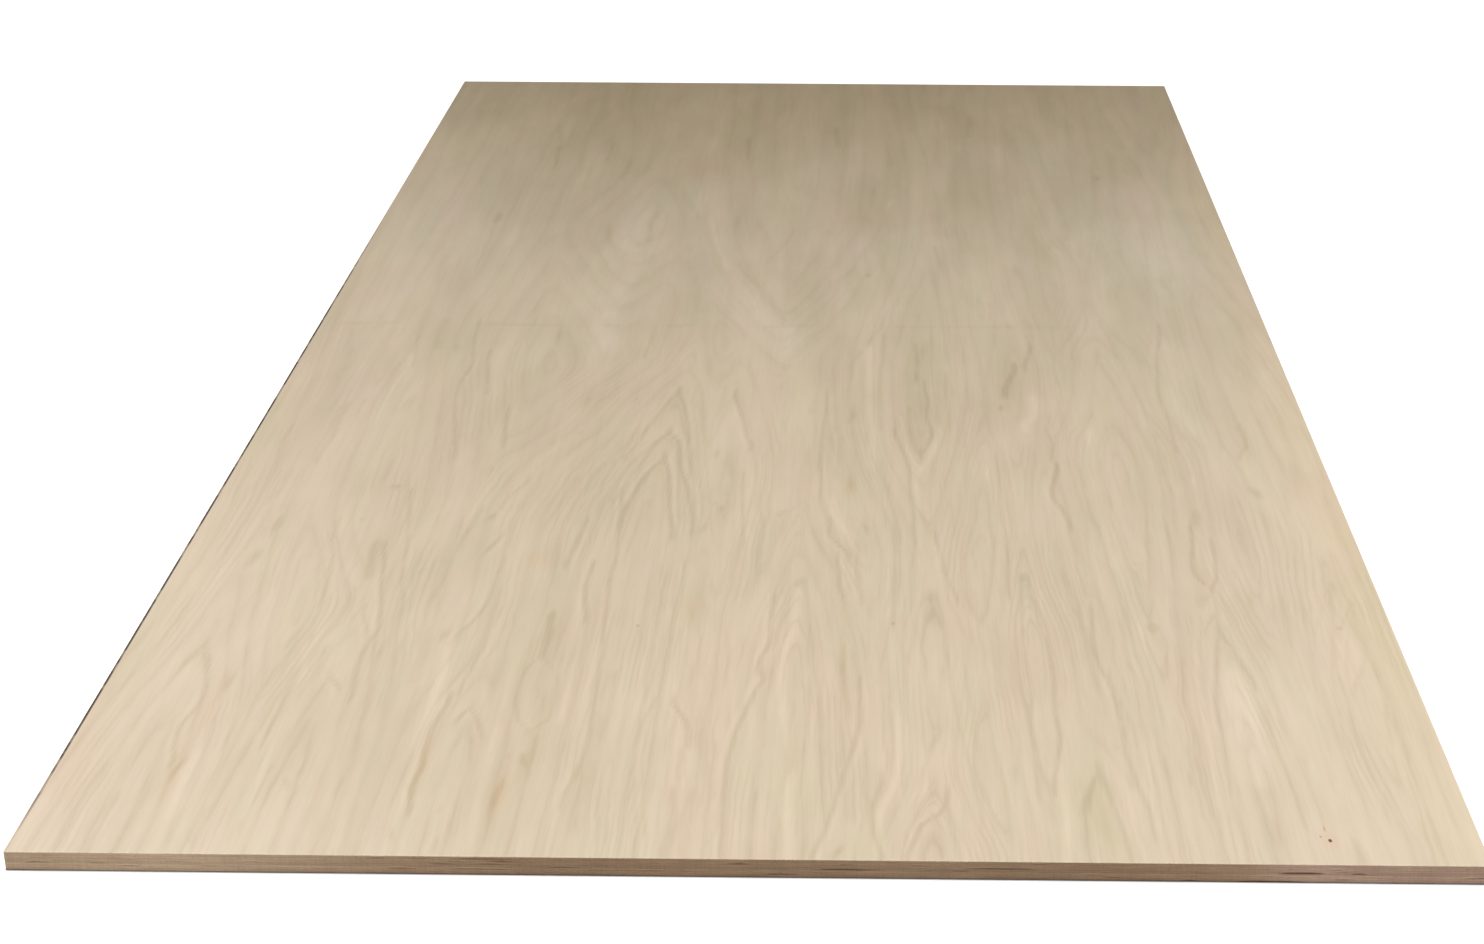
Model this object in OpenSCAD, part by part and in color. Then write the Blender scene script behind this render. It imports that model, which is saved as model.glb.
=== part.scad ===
// Plywood sheet, lying flat: thin face and back veneers on a core of cross-laid plies.
// X runs across the width, Y along the length and the face grain, Z up through the plies.
// The origin is the middle of the underside.

/* [Sheet] */
// Length of the sheet, along the face grain
sheet_length = 2440; // [600:1:3100]
// Width of the sheet
sheet_width = 1220; // [300:1:1550]
// Thickness of the finished sheet
sheet_thickness = 18; // [9:0.1:30]
// Width of the sanded break along the edges of both faces
arris_break = 0.3; // [0.1:0.05:0.35]

/* [Plies] */
// Thickness of the face veneer and of the back veneer
veneer_thickness = 0.6; // [0.4:0.05:1]
// Number of plies between the veneers
core_plies = 7; // [3:2:11]
// How far the top crossband's joint lies past the middle of the length
joint_offset = 20; // [-200:1:200]
// Open gap between the two leaves of the top crossband
leaf_gap = 0.3; // [0.1:0.1:1]

/* [Hidden] */
ply_thickness = (sheet_thickness - 2 * veneer_thickness) / core_plies;
near_end = -sheet_length / 2;
far_end = sheet_length / 2;

face_colour = "burlywood";
crossband_colour = "tan";
long_ply_colour = "peru";
back_colour = "wheat";

// Plies count down from the face: the odd ones are crossbands and the even ones run lengthwise.
function is_crossband(i) = i % 2 == 1;
function ply_name(i) = is_crossband(i)
    ? str("crossband_", (i + 1) / 2)
    : str("long_ply_", i / 2);
// Height of the plane under a ply, which is also the top of the next; 0 gives the top of the core.
function ply_base(i) = sheet_thickness - veneer_thickness - i * ply_thickness;

// Flat leaf over the sheet's full width, between two places along the length and two heights.
module leaf(from_y, to_y, base_z, top_z) {
    translate([0, to_y, 0])
        rotate([90, 0, 0])
            linear_extrude(to_y - from_y)
                polygon([
                    [-sheet_width / 2, base_z],
                    [sheet_width / 2, base_z],
                    [sheet_width / 2, top_z],
                    [-sheet_width / 2, top_z],
                ]);
}

// Section of a veneer over one span, standing on z = 0, with its two upper corners broken.
module broken_section(span) {
    polygon([
        [-span / 2, 0],
        [span / 2, 0],
        [span / 2, veneer_thickness - arris_break],
        [span / 2 - arris_break, veneer_thickness],
        [-span / 2 + arris_break, veneer_thickness],
        [-span / 2, veneer_thickness - arris_break],
    ]);
}

// Outer veneer with its four upper edges broken, standing on z = 0.
module outer_veneer() {
    intersection() {
        rotate([90, 0, 0])
            linear_extrude(sheet_length, center = true)
                broken_section(sheet_width);
        rotate([90, 0, 90])
            linear_extrude(sheet_width, center = true)
                broken_section(sheet_length);
    }
}

module face_veneer() {
    color(face_colour)
        translate([0, 0, ply_base(0)])
            outer_veneer();
}

module back_veneer() {
    color(back_colour)
        translate([0, 0, veneer_thickness])
            mirror([0, 0, 1])
                outer_veneer();
}

module crossband_1_near_leaf() {
    color(crossband_colour)
        leaf(near_end, joint_offset - leaf_gap / 2, ply_base(1), ply_base(0));
}

module crossband_1_far_leaf() {
    color(crossband_colour)
        leaf(joint_offset + leaf_gap / 2, far_end, ply_base(1), ply_base(0));
}

// One of the plies below the top crossband, in one piece.
module core_ply(i) {
    color(is_crossband(i) ? crossband_colour : long_ply_colour)
        leaf(near_end, far_end, ply_base(i), ply_base(i - 1));
}

face_veneer();
crossband_1_near_leaf();
crossband_1_far_leaf();
for (i = [2:core_plies]) core_ply(i);
back_veneer();
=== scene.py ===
"""Plywood sheet lying flat: figured face veneer, sawn plies, back veneer, floor, light and camera.

Distances in the figure's tables are in millimetres on the sheet, from its near left corner: across,
then along, except that a crest's stations start with along. Flecks, gaps in the plies and the cells
of a pattern are in millimetres too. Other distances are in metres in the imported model's frame.
"""

import logging
import math
import random
from dataclasses import dataclass, field, replace
from enum import Enum
from typing import Any, ClassVar, Sequence

import bmesh
import bpy
import numpy as np
from mathutils import Matrix, Vector, noise

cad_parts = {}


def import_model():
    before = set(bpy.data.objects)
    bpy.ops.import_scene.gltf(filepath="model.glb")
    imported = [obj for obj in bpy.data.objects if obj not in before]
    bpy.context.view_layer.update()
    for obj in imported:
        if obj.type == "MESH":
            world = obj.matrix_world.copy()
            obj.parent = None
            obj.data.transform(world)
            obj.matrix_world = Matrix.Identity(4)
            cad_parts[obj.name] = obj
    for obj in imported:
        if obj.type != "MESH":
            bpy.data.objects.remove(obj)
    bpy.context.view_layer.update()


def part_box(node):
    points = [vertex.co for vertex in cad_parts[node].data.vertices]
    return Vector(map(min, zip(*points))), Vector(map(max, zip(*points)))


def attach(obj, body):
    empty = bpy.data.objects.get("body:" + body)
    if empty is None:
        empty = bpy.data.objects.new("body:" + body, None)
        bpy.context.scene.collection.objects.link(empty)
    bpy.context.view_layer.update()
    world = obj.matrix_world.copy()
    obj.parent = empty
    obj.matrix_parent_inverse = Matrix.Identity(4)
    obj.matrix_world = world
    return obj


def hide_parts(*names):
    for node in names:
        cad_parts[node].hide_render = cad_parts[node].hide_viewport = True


LOG = logging.getLogger("plywood_sheet")
MM = 0.001
BAKE_MAP = "OFBake"
TOUCH = 1e-6
"""Distance within which a point counts as lying on a side, in metres."""
RGB = tuple[float, float, float]
Socket = bpy.types.NodeSocket


class Attribute(Enum):
    """Values that a mesh carries at its points for the finishes to read."""

    RINGS = "rings"
    DARK = "dark"
    BRIGHT = "bright"
    PALE = "pale"
    OLIVE = "olive"
    RUST = "rust"
    WARM = "warm"
    RECESS = "recess"


class Grain(Enum):
    """Which way a ply's grain runs."""

    ACROSS = "across"
    ALONG = "along"


class Side(Enum):
    """The four sawn sides of the sheet."""

    NEAR = "near"
    RIGHT = "right"
    FAR = "far"
    LEFT = "left"


@dataclass(frozen=True)
class Span:
    """Box of one CAD node, in metres."""

    low: Vector
    high: Vector

    @classmethod
    def of(cls, *nodes: str) -> "Span":
        """The box round some CAD nodes.

        Args:
            nodes: Names of the nodes.

        Returns:
            The box that holds them all.
        """
        boxes = [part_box(node) for node in nodes]
        low = Vector(min(box[0][axis] for box in boxes) for axis in range(3))
        high = Vector(max(box[1][axis] for box in boxes) for axis in range(3))
        return cls(low, high)

    @property
    def size(self) -> Vector:
        """Width, length and thickness."""
        return self.high - self.low

    @property
    def middle(self) -> Vector:
        """Centre of the box."""
        return (self.low + self.high) / 2


# --- Growth-ring figure ----------------------------------------------------------------------


@dataclass(frozen=True)
class Crest:
    """A crest in the growth rings that the peeling knife cut along.

    The rings lie round a crest as contour lines lie round a hill: where it climbs they close in an
    arch, and where it stays level they run beside it.
    """

    stations: tuple[tuple[float, float, float, float, float], ...]
    """Along, across, rings up to the crest, and the ring spacing left and right of it."""
    tip: float = 9.0
    """Radius of the arches at the crest."""

    def height(self, across: np.ndarray, along: np.ndarray) -> np.ndarray:
        """Height of the crest's own hill.

        Args:
            across: Distances from the left side.
            along: Distances from the near end.

        Returns:
            Rings above the valley level, which may be negative.
        """
        places, *columns = (np.array(column) for column in zip(*self.stations))
        centre, top, left, right = (smooth_track(along, places, column) for column in columns)
        aside = across - centre
        spacing = np.where(aside < 0, left, right)
        return top - (np.hypot(aside, self.tip) - self.tip) / spacing


def smooth_track(at: np.ndarray, places: np.ndarray, values: np.ndarray) -> np.ndarray:
    """A smooth curve through some stations, level past both ends.

    Args:
        at: Places to read the curve at.
        places: Places of the stations, rising.
        values: Value at each station.

    Returns:
        The curve's value at each place.
    """
    slopes = np.gradient(values, places)
    slopes[0] = slopes[-1] = 0
    at = np.clip(at, places[0], places[-1])
    i = np.clip(np.searchsorted(places, at) - 1, 0, len(places) - 2)
    step = places[i + 1] - places[i]
    t = (at - places[i]) / step
    ease = t * t * (3 - 2 * t)
    lead = t * (1 - t) ** 2 * step * slopes[i]
    trail = t * t * (t - 1) * step * slopes[i + 1]
    return values[i] + ease * (values[i + 1] - values[i]) + lead + trail


@dataclass(frozen=True)
class Line:
    """One soft line in the wood, drawn along its middle."""

    places: tuple[tuple[float, float], ...]
    """Across and along, down to the near end."""
    strength: float
    half_width: float
    taper: float = 16.0
    """Distance over which its ends fade."""
    shade: float = 0.2
    """Strength of the soft shade round it."""
    SHORT: ClassVar[float] = 70.0
    """Length below which a line is a soft spindle."""
    SPINDLE: ClassVar[float] = 0.6
    """Reach of a spindle from its middle, as a share of its length."""
    SHADE_WIDTH: ClassVar[float] = 3.0
    """Width of the soft shade, as a multiple of the line's own."""

    def amount(self, across: np.ndarray, along: np.ndarray) -> np.ndarray:
        """How much of the line lies at each place.

        Args:
            across: Distances from the left side.
            along: Distances from the near end.

        Returns:
            The line's strength on its middle, falling off to 0.
        """
        aside_at, at = (np.array(column[::-1], dtype=float) for column in zip(*self.places))
        aside = (across - smooth_track(along, at, aside_at)) / self.half_width
        length = at[-1] - at[0]
        if length < self.SHORT:
            past = (along - at.mean()) / (self.SPINDLE * length)
        else:
            past = np.maximum(0, np.maximum(at[0] - along, along - at[-1])) / self.taper
        core, shade = np.exp(-(aside**2)), self.shade * np.exp(-((aside / self.SHADE_WIDTH) ** 2))
        return self.strength * np.maximum(core, shade) * np.exp(-(past**2))

    def beside(self, offset: float, share: float = 1.0) -> "Line":
        """The same line shifted across, at a share of its strength."""
        places = tuple((across + offset, along) for across, along in self.places)
        return replace(self, places=places, strength=share * self.strength)


@dataclass(frozen=True)
class Cloud:
    """Soft-edged patch of another tone in the wood; the widest ones are painted light and shade across the
    sheet.
    """

    across: float
    along: float
    half_width: float
    half_length: float
    strength: float
    lean: float = 0.0
    """Shift across for each millimetre along."""

    def amount(self, across: np.ndarray, along: np.ndarray) -> np.ndarray:
        """How much of the patch lies at each place.

        Args:
            across: Distances from the left side.
            along: Distances from the near end.

        Returns:
            The patch's strength at its middle, falling off to 0.
        """
        past = along - self.along
        aside = (across - self.across - self.lean * past) / self.half_width
        return self.strength * np.exp(-(aside**2) - (past / self.half_length) ** 2)


@dataclass(frozen=True)
class Figure:
    """Growth rings, lines and tone patches of one veneer."""

    crests: tuple[Crest, ...]
    dark: tuple[Line, ...] = ()
    bright: tuple[Line, ...] = ()
    pale: tuple[Cloud, ...] = ()
    olive: tuple[Cloud, ...] = ()
    rust: tuple[Cloud, ...] = ()
    warm: tuple[Cloud, ...] = ()
    blend: float = 2.4
    """How sharply the hills of neighbouring crests meet."""
    NARROW: ClassVar[float] = 4.2
    """Half-width below which a dark line has a pale partner."""
    PARTNER_GAP: ClassVar[float] = 2.6
    """Distance between the side of a dark line and the middle of its partner."""
    PARTNER_SHARE: ClassVar[float] = 0.62

    def rings(self, across: np.ndarray, along: np.ndarray) -> np.ndarray:
        """Ring count at each place.

        Args:
            across: Distances from the left side.
            along: Distances from the near end.

        Returns:
            Height of the joined hills, in rings.
        """
        heights = np.stack([crest.height(across, along) for crest in self.crests])
        return np.logaddexp.reduce(self.blend * heights, axis=0) / self.blend

    def partners(self) -> tuple[Line, ...]:
        """The pale early wood that lies beside each narrow dark line."""
        narrow = [line for line in self.dark if line.half_width < self.NARROW]
        return tuple(
            line.beside((1, -1)[i % 2] * (line.half_width + self.PARTNER_GAP), self.PARTNER_SHARE)
            for i, line in enumerate(narrow)
        )

    def layers(self, across: np.ndarray, along: np.ndarray) -> dict[Attribute, np.ndarray]:
        """Every value that the finish reads from the mesh.

        Args:
            across: Distances from the left side.
            along: Distances from the near end.

        Returns:
            One array for each attribute.
        """
        found = {Attribute.RINGS: self.rings(across, along)}
        marks = {
            Attribute.DARK: self.dark,
            Attribute.BRIGHT: self.bright + self.partners(),
            Attribute.PALE: self.pale,
            Attribute.OLIVE: self.olive,
            Attribute.RUST: self.rust,
            Attribute.WARM: self.warm,
        }
        for attribute, drawn in marks.items():
            total = np.zeros_like(across)
            for mark in drawn:
                amount = mark.amount(across, along)
                total = np.maximum(total, amount) if isinstance(mark, Line) else total + amount
            found[attribute] = total
        return found


def group(line: Line, *offsets: float, share: float = 0.8) -> tuple[Line, ...]:
    """A line and its copies at some distances across, at a share of its strength."""
    return (line, *(line.beside(offset, share) for offset in offsets))


CRESTS = (
    # Narrow arches down the left side.
    Crest(((0, 76, 3.2, 20, 17), (240, 76, 2.6, 20, 17), (372, 74, 1.5, 22, 18),
           (520, 70, 0.6, 24, 22), (1240, 60, 1.2, 24, 22), (2440, 60, 1.6, 28, 28))),
    Crest(((0, 208, 2.2, 18, 18), (180, 207, 2.0, 18, 18), (305, 209, 1.5, 18, 18),
           (445, 210, 0.5, 20, 20), (640, 182, 1.6, 20, 22), (900, 168, 1.4, 22, 24),
           (1120, 160, 0.6, 24, 24), (1500, 165, 0.9, 28, 28), (2440, 170, 1.6, 28, 28)), tip=7),
    # The small arch and the oval beside it.
    Crest(((0, 350, 2.2, 16, 17), (150, 350, 2.1, 16, 17), (245, 349, 1.5, 17, 17),
           (330, 350, 0.2, 20, 20), (2440, 345, -5.0, 28, 28)), tip=5),
    Crest(((0, 404, 0.6, 15, 16), (120, 403, 0.8, 15, 16), (208, 404, 1.5, 13, 14),
           (290, 404, 2.4, 12, 13), (355, 402, 1.5, 14, 14), (480, 402, 0.0, 18, 18),
           (2440, 404, -5.0, 28, 28)), tip=6),
    # The great nested arches left of the middle.
    Crest(((0, 468, 4.8, 24, 15), (420, 470, 4.6, 25, 15), (700, 474, 4.3, 29, 16),
           (810, 477, 3.5, 30, 17), (885, 479, 2.5, 29, 19), (1008, 481, 1.5, 27, 21),
           (1090, 486, 0.5, 26, 23), (1330, 490, -0.4, 28, 26), (2440, 480, -0.8, 32, 30)),
          tip=7),
    Crest(((0, 560, 0.6, 19, 20), (560, 556, 1.2, 19, 20), (780, 553, 1.9, 18, 19),
           (900, 552, 1.5, 17, 18), (1030, 550, 0.5, 18, 18), (1180, 548, -1.0, 20, 20),
           (2440, 548, -4.0, 28, 28)), tip=8),
    # The pale streak that runs off the near end.
    Crest(((0, 646, 3.0, 20, 18), (200, 643, 2.8, 20, 18), (380, 640, 2.4, 20, 18),
           (508, 641, 1.5, 20, 19), (620, 636, 0.4, 22, 20), (1150, 630, -1.0, 26, 24),
           (2440, 630, -4.0, 28, 28)), tip=8),
    # Wavy parallel lines that close on a long spindle.
    Crest(((0, 764, 3.2, 17, 17), (66, 764, 2.5, 17, 17), (110, 766, 1.9, 17, 17),
           (260, 770, 1.9, 17, 17), (380, 773, 2.2, 17, 17), (482, 772, 1.5, 17, 17),
           (560, 774, 1.4, 17, 17), (700, 772, 2.4, 17, 17), (822, 768, 3.5, 17, 17),
           (980, 774, 4.5, 17, 16), (1150, 776, 4.5, 17, 16), (1260, 779, 4.0, 17, 16),
           (1450, 790, 2.8, 20, 19), (1800, 800, 2.0, 24, 22), (2440, 800, 2.6, 28, 26)), tip=6),
    Crest(((0, 868, 1.6, 17, 17), (240, 868, 2.2, 17, 17), (400, 869, 2.4, 16, 16),
           (524, 869, 1.5, 16, 16), (660, 872, 1.0, 19, 19), (960, 880, 1.9, 19, 19),
           (1100, 888, 1.9, 19, 19), (1260, 890, 1.2, 20, 20), (1600, 880, 0.9, 26, 26),
           (2440, 880, 1.6, 28, 28)), tip=6),
    Crest(((0, 912, 2.6, 16, 17), (80, 911, 2.3, 16, 17), (144, 911, 1.5, 16, 17),
           (240, 908, 0.2, 19, 19), (2440, 908, -7.0, 28, 28)), tip=6),
    # The nested arches right of the middle.
    Crest(((0, 985, 2.4, 19, 20), (200, 985, 2.3, 19, 20), (420, 985, 2.6, 20, 20),
           (600, 988, 3.1, 21, 21), (860, 990, 3.3, 23, 21), (960, 992, 2.5, 23, 21),
           (1150, 993, 1.5, 23, 21), (1245, 994, 0.5, 23, 21), (1360, 998, -0.2, 26, 26),
           (1750, 1000, 1.0, 28, 28), (2440, 1000, 1.8, 28, 28)), tip=8),
    Crest(((0, 1050, 2.9, 18, 17), (220, 1050, 2.6, 18, 17), (330, 1050, 2.1, 18, 17),
           (402, 1050, 1.5, 18, 17), (500, 1052, 0.6, 21, 20), (700, 1050, 0.2, 23, 23),
           (2440, 1060, -2.0, 28, 28)), tip=7),
    # Leaning lines down the right side.
    Crest(((0, 1170, 2.0, 20, 20), (260, 1166, 2.4, 20, 20), (480, 1176, 2.0, 21, 20),
           (700, 1182, 1.6, 23, 21), (900, 1176, 2.0, 24, 23), (1240, 1160, 1.6, 24, 24),
           (1600, 1145, 0.2, 26, 26), (2440, 1160, 1.8, 28, 28))),
    # Nested wedges that open towards the far end.
    Crest(((0, 600, -8.0, 28, 28), (1000, 600, -1.6, 28, 28), (1165, 600, 0.4, 30, 28),
           (1250, 600, 1.5, 32, 28), (1330, 602, 2.3, 35, 29), (1450, 604, 3.1, 38, 30),
           (1620, 606, 3.9, 38, 34), (1850, 600, 4.4, 38, 34), (2440, 590, 4.6, 36, 34)), tip=9),
    Crest(((0, 385, -8.0, 28, 28), (1330, 385, -1.0, 28, 28), (1450, 386, 0.5, 28, 25),
           (1560, 388, 1.8, 28, 24), (1650, 390, 2.4, 28, 24), (1750, 390, 1.7, 28, 25),
           (1880, 388, 0.7, 28, 28), (2440, 380, 1.0, 30, 30)), tip=12),
)

DARK_LINES = (
    # Left strip, near half.
    Line(((73, 364), (69, 345), (65, 326), (64, 312)), 0.9, 4),
    Line(((74, 362), (84, 336), (92, 300), (99, 258), (97, 238), (92, 210), (96, 170),
          (101, 146)), 0.8, 3.2),
    Line(((111, 154), (107, 132), (106, 106)), 0.9, 3.6),
    Line(((116, 306), (115, 286), (117, 262)), 0.7, 5),
    Line(((66, 84), (64, 48), (66, 0)), 0.75, 7),
    Line(((128, 64), (131, 0)), 0.6, 3.4),
    Line(((84, 660), (83, 604)), 0.9, 6),
    Line(((78, 572), (75, 528)), 0.8, 8),
    Line(((86, 1010), (89, 950), (93, 880), (88, 800)), 0.5, 4),
    Line(((40, 900), (38, 850), (44, 790)), 0.5, 4),
    Line(((62, 760), (60, 690)), 0.5, 5),
    Line(((146, 640), (149, 590), (156, 560), (161, 530), (164, 492), (167, 448)), 0.7, 2.8),
    Line(((156, 395), (154, 352)), 0.7, 4),
    Line(((174, 392), (172, 362)), 0.7, 2.6),
    Line(((174, 276), (174, 232), (172, 180)), 0.9, 2.6),
    Line(((150, 300), (147, 240), (149, 200), (146, 120)), 0.45, 3.2),
    Line(((196, 584), (198, 548), (202, 512)), 0.8, 7),
    Line(((205, 582), (213, 540), (218, 502), (224, 468), (230, 430), (234, 396), (229, 356),
          (230, 310), (234, 262)), 0.9, 3),
    Line(((229, 596), (232, 548), (238, 502), (245, 466)), 0.8, 2.8),
    Line(((211, 440), (218, 412), (226, 384), (228, 352)), 0.7, 3),
    Line(((208, 440), (203, 404)), 0.5, 3.4),
    Line(((208, 302), (214, 290), (221, 272)), 0.95, 4),
    Line(((206, 300), (201, 262), (197, 226), (192, 176), (190, 138), (187, 90), (186, 40)), 0.6, 3),
    Line(((190, 150), (189, 120)), 0.8, 3.6),
    Line(((191, 366), (190, 322)), 0.6, 6),
    Line(((245, 374), (243, 322)), 0.6, 6),
    Line(((205, 122), (213, 98)), 0.7, 5),
    Line(((257, 480), (259, 430), (264, 366)), 0.55, 2.4),
    Line(((261, 280), (265, 226)), 0.55, 2.6),
    Line(((276, 650), (280, 560), (280, 476)), 0.55, 3),
    Line(((256, 534), (253, 512)), 0.7, 4),
    Line(((303, 402), (300, 372)), 0.9, 5),
    Line(((314, 404), (286, 384)), 0.5, 7),
    # The arch, the oval and the lines up to the tight group.
    Line(((325, 618), (319, 588), (311, 556)), 0.9, 4),
    Line(((334, 556), (333, 490), (331, 450), (323, 412), (313, 384)), 0.8, 3),
    Line(((341, 410), (341, 366), (336, 320), (332, 276)), 0.75, 3),
    Line(((325, 262), (320, 220), (318, 176), (321, 140), (318, 106), (322, 70)), 1.05, 3.4),
    Line(((346, 243), (341, 232), (337, 208)), 0.9, 3.4),
    Line(((348, 244), (355, 226), (362, 204), (368, 180)), 0.9, 3.4),
    Line(((399, 424), (401, 386), (400, 348)), 1.05, 5),
    Line(((398, 352), (388, 318), (385, 282), (388, 246), (396, 218), (404, 204)), 0.62, 3.8),
    Line(((402, 350), (412, 322), (421, 294), (423, 252), (418, 220), (408, 204)), 0.58, 3.8),
    Line(((406, 164), (412, 134)), 0.9, 5),
    Line(((393, 168), (391, 150)), 0.6, 5),
    Line(((394, 120), (391, 92), (391, 52)), 1.0, 4.5),
    Line(((348, 82), (346, 58)), 0.6, 4),
    Line(((353, 30), (352, 0)), 0.7, 4),
    Line(((312, 44), (316, 16)), 0.6, 4),
    Line(((434, 62), (433, 40)), 0.5, 3),
    Line(((409, 650), (405, 596), (400, 540)), 0.85, 4),
    Line(((350, 552), (380, 548), (396, 536)), 0.5, 5),
    Line(((427, 540), (425, 502), (427, 466), (433, 420)), 0.95, 3.4),
    Line(((435, 420), (438, 350), (441, 290), (441, 210), (439, 120), (440, 0)), 0.5, 2.8),
    Line(((441, 720), (445, 640), (449, 570), (448, 500), (450, 456), (453, 400), (456, 330), (459, 250),
          (461, 190), (458, 140), (449, 84)), 0.9, 3),
    Line(((449, 510), (449, 466)), 0.6, 3),
    Line(((453, 448), (453, 410)), 0.6, 2.6),
    Line(((473, 310), (474, 240), (472, 196)), 0.6, 4),
    Line(((483, 350), (484, 296), (481, 236)), 0.45, 2.4),
    Line(((482, 172), (488, 130)), 0.5, 3),
    Line(((480, 100), (484, 44), (488, 0)), 0.7, 2.6),
    Line(((490, 76), (495, 0)), 0.6, 2.4),
    Line(((500, 344), (501, 284)), 0.5, 2.4),
    Line(((521, 540), (523, 476), (520, 400), (521, 350), (516, 268), (506, 222), (504, 160),
          (512, 84), (520, 0)), 0.6, 2.4),
    Line(((524, 480), (524, 436)), 0.5, 3),
    Line(((527, 416), (529, 366)), 0.6, 3),
    Line(((514, 250), (512, 180), (515, 112), (527, 0)), 0.55, 2.4),
    Line(((500, 180), (503, 110), (510, 40)), 0.45, 2.2),
    Line(((531, 260), (541, 234), (548, 212), (549, 186)), 0.85, 3.8),
    Line(((529, 256), (528, 226), (531, 150)), 0.45, 3),
    Line(((542, 100), (548, 52), (542, 0)), 0.6, 8),
    Line(((535, 450), (541, 404)), 0.5, 4),
    Line(((573, 410), (575, 352)), 0.7, 3),
    Line(((564, 350), (566, 284), (566, 200), (568, 90)), 0.5, 4.5),
    Line(((616, 470), (614, 420), (614, 372), (607, 334), (611, 304), (605, 278), (599, 248),
          (592, 206), (588, 166), (587, 110), (589, 0)), 1.0, 3.2),
    Line(((607, 345), (606, 316), (612, 296)), 0.8, 5),
    Line(((597, 650), (597, 590), (595, 536)), 0.7, 3.4),
    # The pale streak's cap and its flanks.
    Line(((641, 514), (640, 496)), 1.0, 6),
    Line(((636, 500), (626, 440), (622, 380)), 0.5, 4),
    Line(((645, 506), (652, 440), (653, 350), (655, 270), (653, 170), (651, 40)), 0.65, 2.8),
    Line(((668, 650), (672, 606), (682, 586), (690, 566)), 0.85, 4),
    Line(((677, 562), (680, 524), (681, 488), (684, 474)), 0.85, 3),
    Line(((697, 560), (699, 510), (703, 462)), 0.7, 3),
    Line(((670, 372), (672, 340)), 0.4, 4),
    Line(((686, 360), (686, 316), (689, 274), (691, 240)), 0.85, 3.4),
    Line(((701, 300), (701, 214), (695, 168), (688, 128), (680, 80), (672, 36), (664, 0)), 0.9, 3.4),
    Line(((702, 226), (699, 190)), 0.6, 3),
    Line(((673, 196), (671, 156)), 0.4, 4),
    Line(((690, 24), (681, 0)), 0.9, 5),
    Line(((706, 120), (709, 80), (702, 36), (700, 0)), 0.6, 2.8),
    Line(((722, 128), (713, 78), (716, 36), (722, 0)), 0.8, 3.6),
    Line(((728, 384), (722, 340), (718, 300)), 0.5, 3),
    Line(((725, 262), (724, 200), (727, 150), (722, 112)), 0.6, 2.4),
    Line(((735, 640), (737, 560), (735, 490), (734, 414)), 0.75, 3),
    Line(((755, 640), (757, 596), (754, 548), (751, 470), (754, 400), (748, 340)), 0.6, 3),
    # Arches under the spindle.
    Line(((772, 486), (772, 456)), 0.8, 7),
    Line(((765, 480), (758, 440), (756, 380)), 0.5, 3),
    Line(((778, 480), (783, 420), (784, 360), (788, 280), (793, 214), (800, 140), (806, 60)), 0.65, 3),
    Line(((780, 620), (785, 566), (789, 516), (798, 468)), 0.85, 3),
    Line(((801, 520), (805, 440), (809, 384)), 0.5, 2.4),
    Line(((802, 330), (804, 260), (808, 206), (812, 130)), 0.5, 2.4),
    Line(((774, 220), (769, 192), (764, 166)), 0.8, 4.5),
    Line(((763, 166), (757, 140), (754, 100)), 0.5, 3),
    Line(((778, 106), (775, 82), (768, 68), (758, 58), (750, 34), (742, 0)), 0.95, 3.4),
    Line(((763, 68), (759, 60)), 0.6, 6),
    Line(((779, 76), (782, 40), (786, 0)), 0.7, 3.4),
    Line(((827, 560), (826, 480)), 0.4, 2.4),
    Line(((832, 430), (835, 370)), 0.4, 2.4),
    Line(((846, 360), (846, 280), (845, 180)), 0.5, 2.4),
    Line(((838, 154), (837, 118)), 0.6, 3),
    Line(((820, 250), (822, 170)), 0.35, 2.4),
    Line(((868, 530), (867, 508)), 1.1, 5),
    Line(((864, 516), (862, 470), (859, 400), (859, 330), (860, 272), (857, 232), (858, 170),
          (857, 100)), 0.75, 2.8),
    Line(((859, 296), (859, 256)), 0.6, 3),
    Line(((871, 516), (875, 476), (876, 430), (881, 376), (883, 316), (880, 250), (881, 196),
          (876, 156), (870, 110)), 0.9, 3),
    Line(((876, 174), (872, 140)), 0.5, 4),
    Line(((853, 830), (853, 740), (851, 680), (854, 620), (853, 560), (850, 480)), 0.7, 2.6),
    Line(((898, 108), (893, 66)), 0.95, 6),
    Line(((911, 148), (904, 120), (896, 80)), 0.7, 4),
    Line(((912, 148), (917, 104), (922, 60), (926, 0)), 0.75, 3.4),
    # Lines up to the right arch.
    Line(((921, 640), (924, 580), (923, 536), (926, 486)), 0.65, 3),
    Line(((940, 650), (937, 590), (939, 500), (944, 440)), 0.45, 2.4),
    Line(((929, 450), (926, 396), (926, 356), (931, 318), (936, 290), (938, 240)), 0.9, 3),
    Line(((946, 390), (943, 346), (949, 296)), 0.5, 2.8),
    Line(((956, 420), (955, 340), (958, 306), (957, 240), (959, 120), (957, 20)), 0.6, 2.6),
    Line(((955, 356), (958, 310)), 0.8, 3),
    Line(((966, 250), (967, 180), (971, 96)), 0.5, 2.6),
    Line(((939, 216), (938, 170), (942, 130), (948, 84), (948, 40)), 0.8, 3),
    Line(((946, 104), (949, 76)), 0.6, 3.4),
    Line(((991, 150), (990, 116)), 0.8, 3.6),
    Line(((1028, 110), (1025, 50), (1023, 0)), 0.55, 2.6),
    Line(((1050, 640), (1046, 590), (1042, 552), (1044, 520), (1054, 496)), 0.95, 3.4),
    Line(((1068, 606), (1066, 560), (1062, 520), (1055, 494)), 0.9, 3.2),
    Line(((1055, 500), (1053, 440), (1050, 400)), 0.6, 3.4),
    Line(((1050, 408), (1044, 372), (1038, 326), (1031, 280), (1028, 220)), 0.8, 3.6),
    Line(((1040, 350), (1035, 312)), 0.6, 4),
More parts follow.
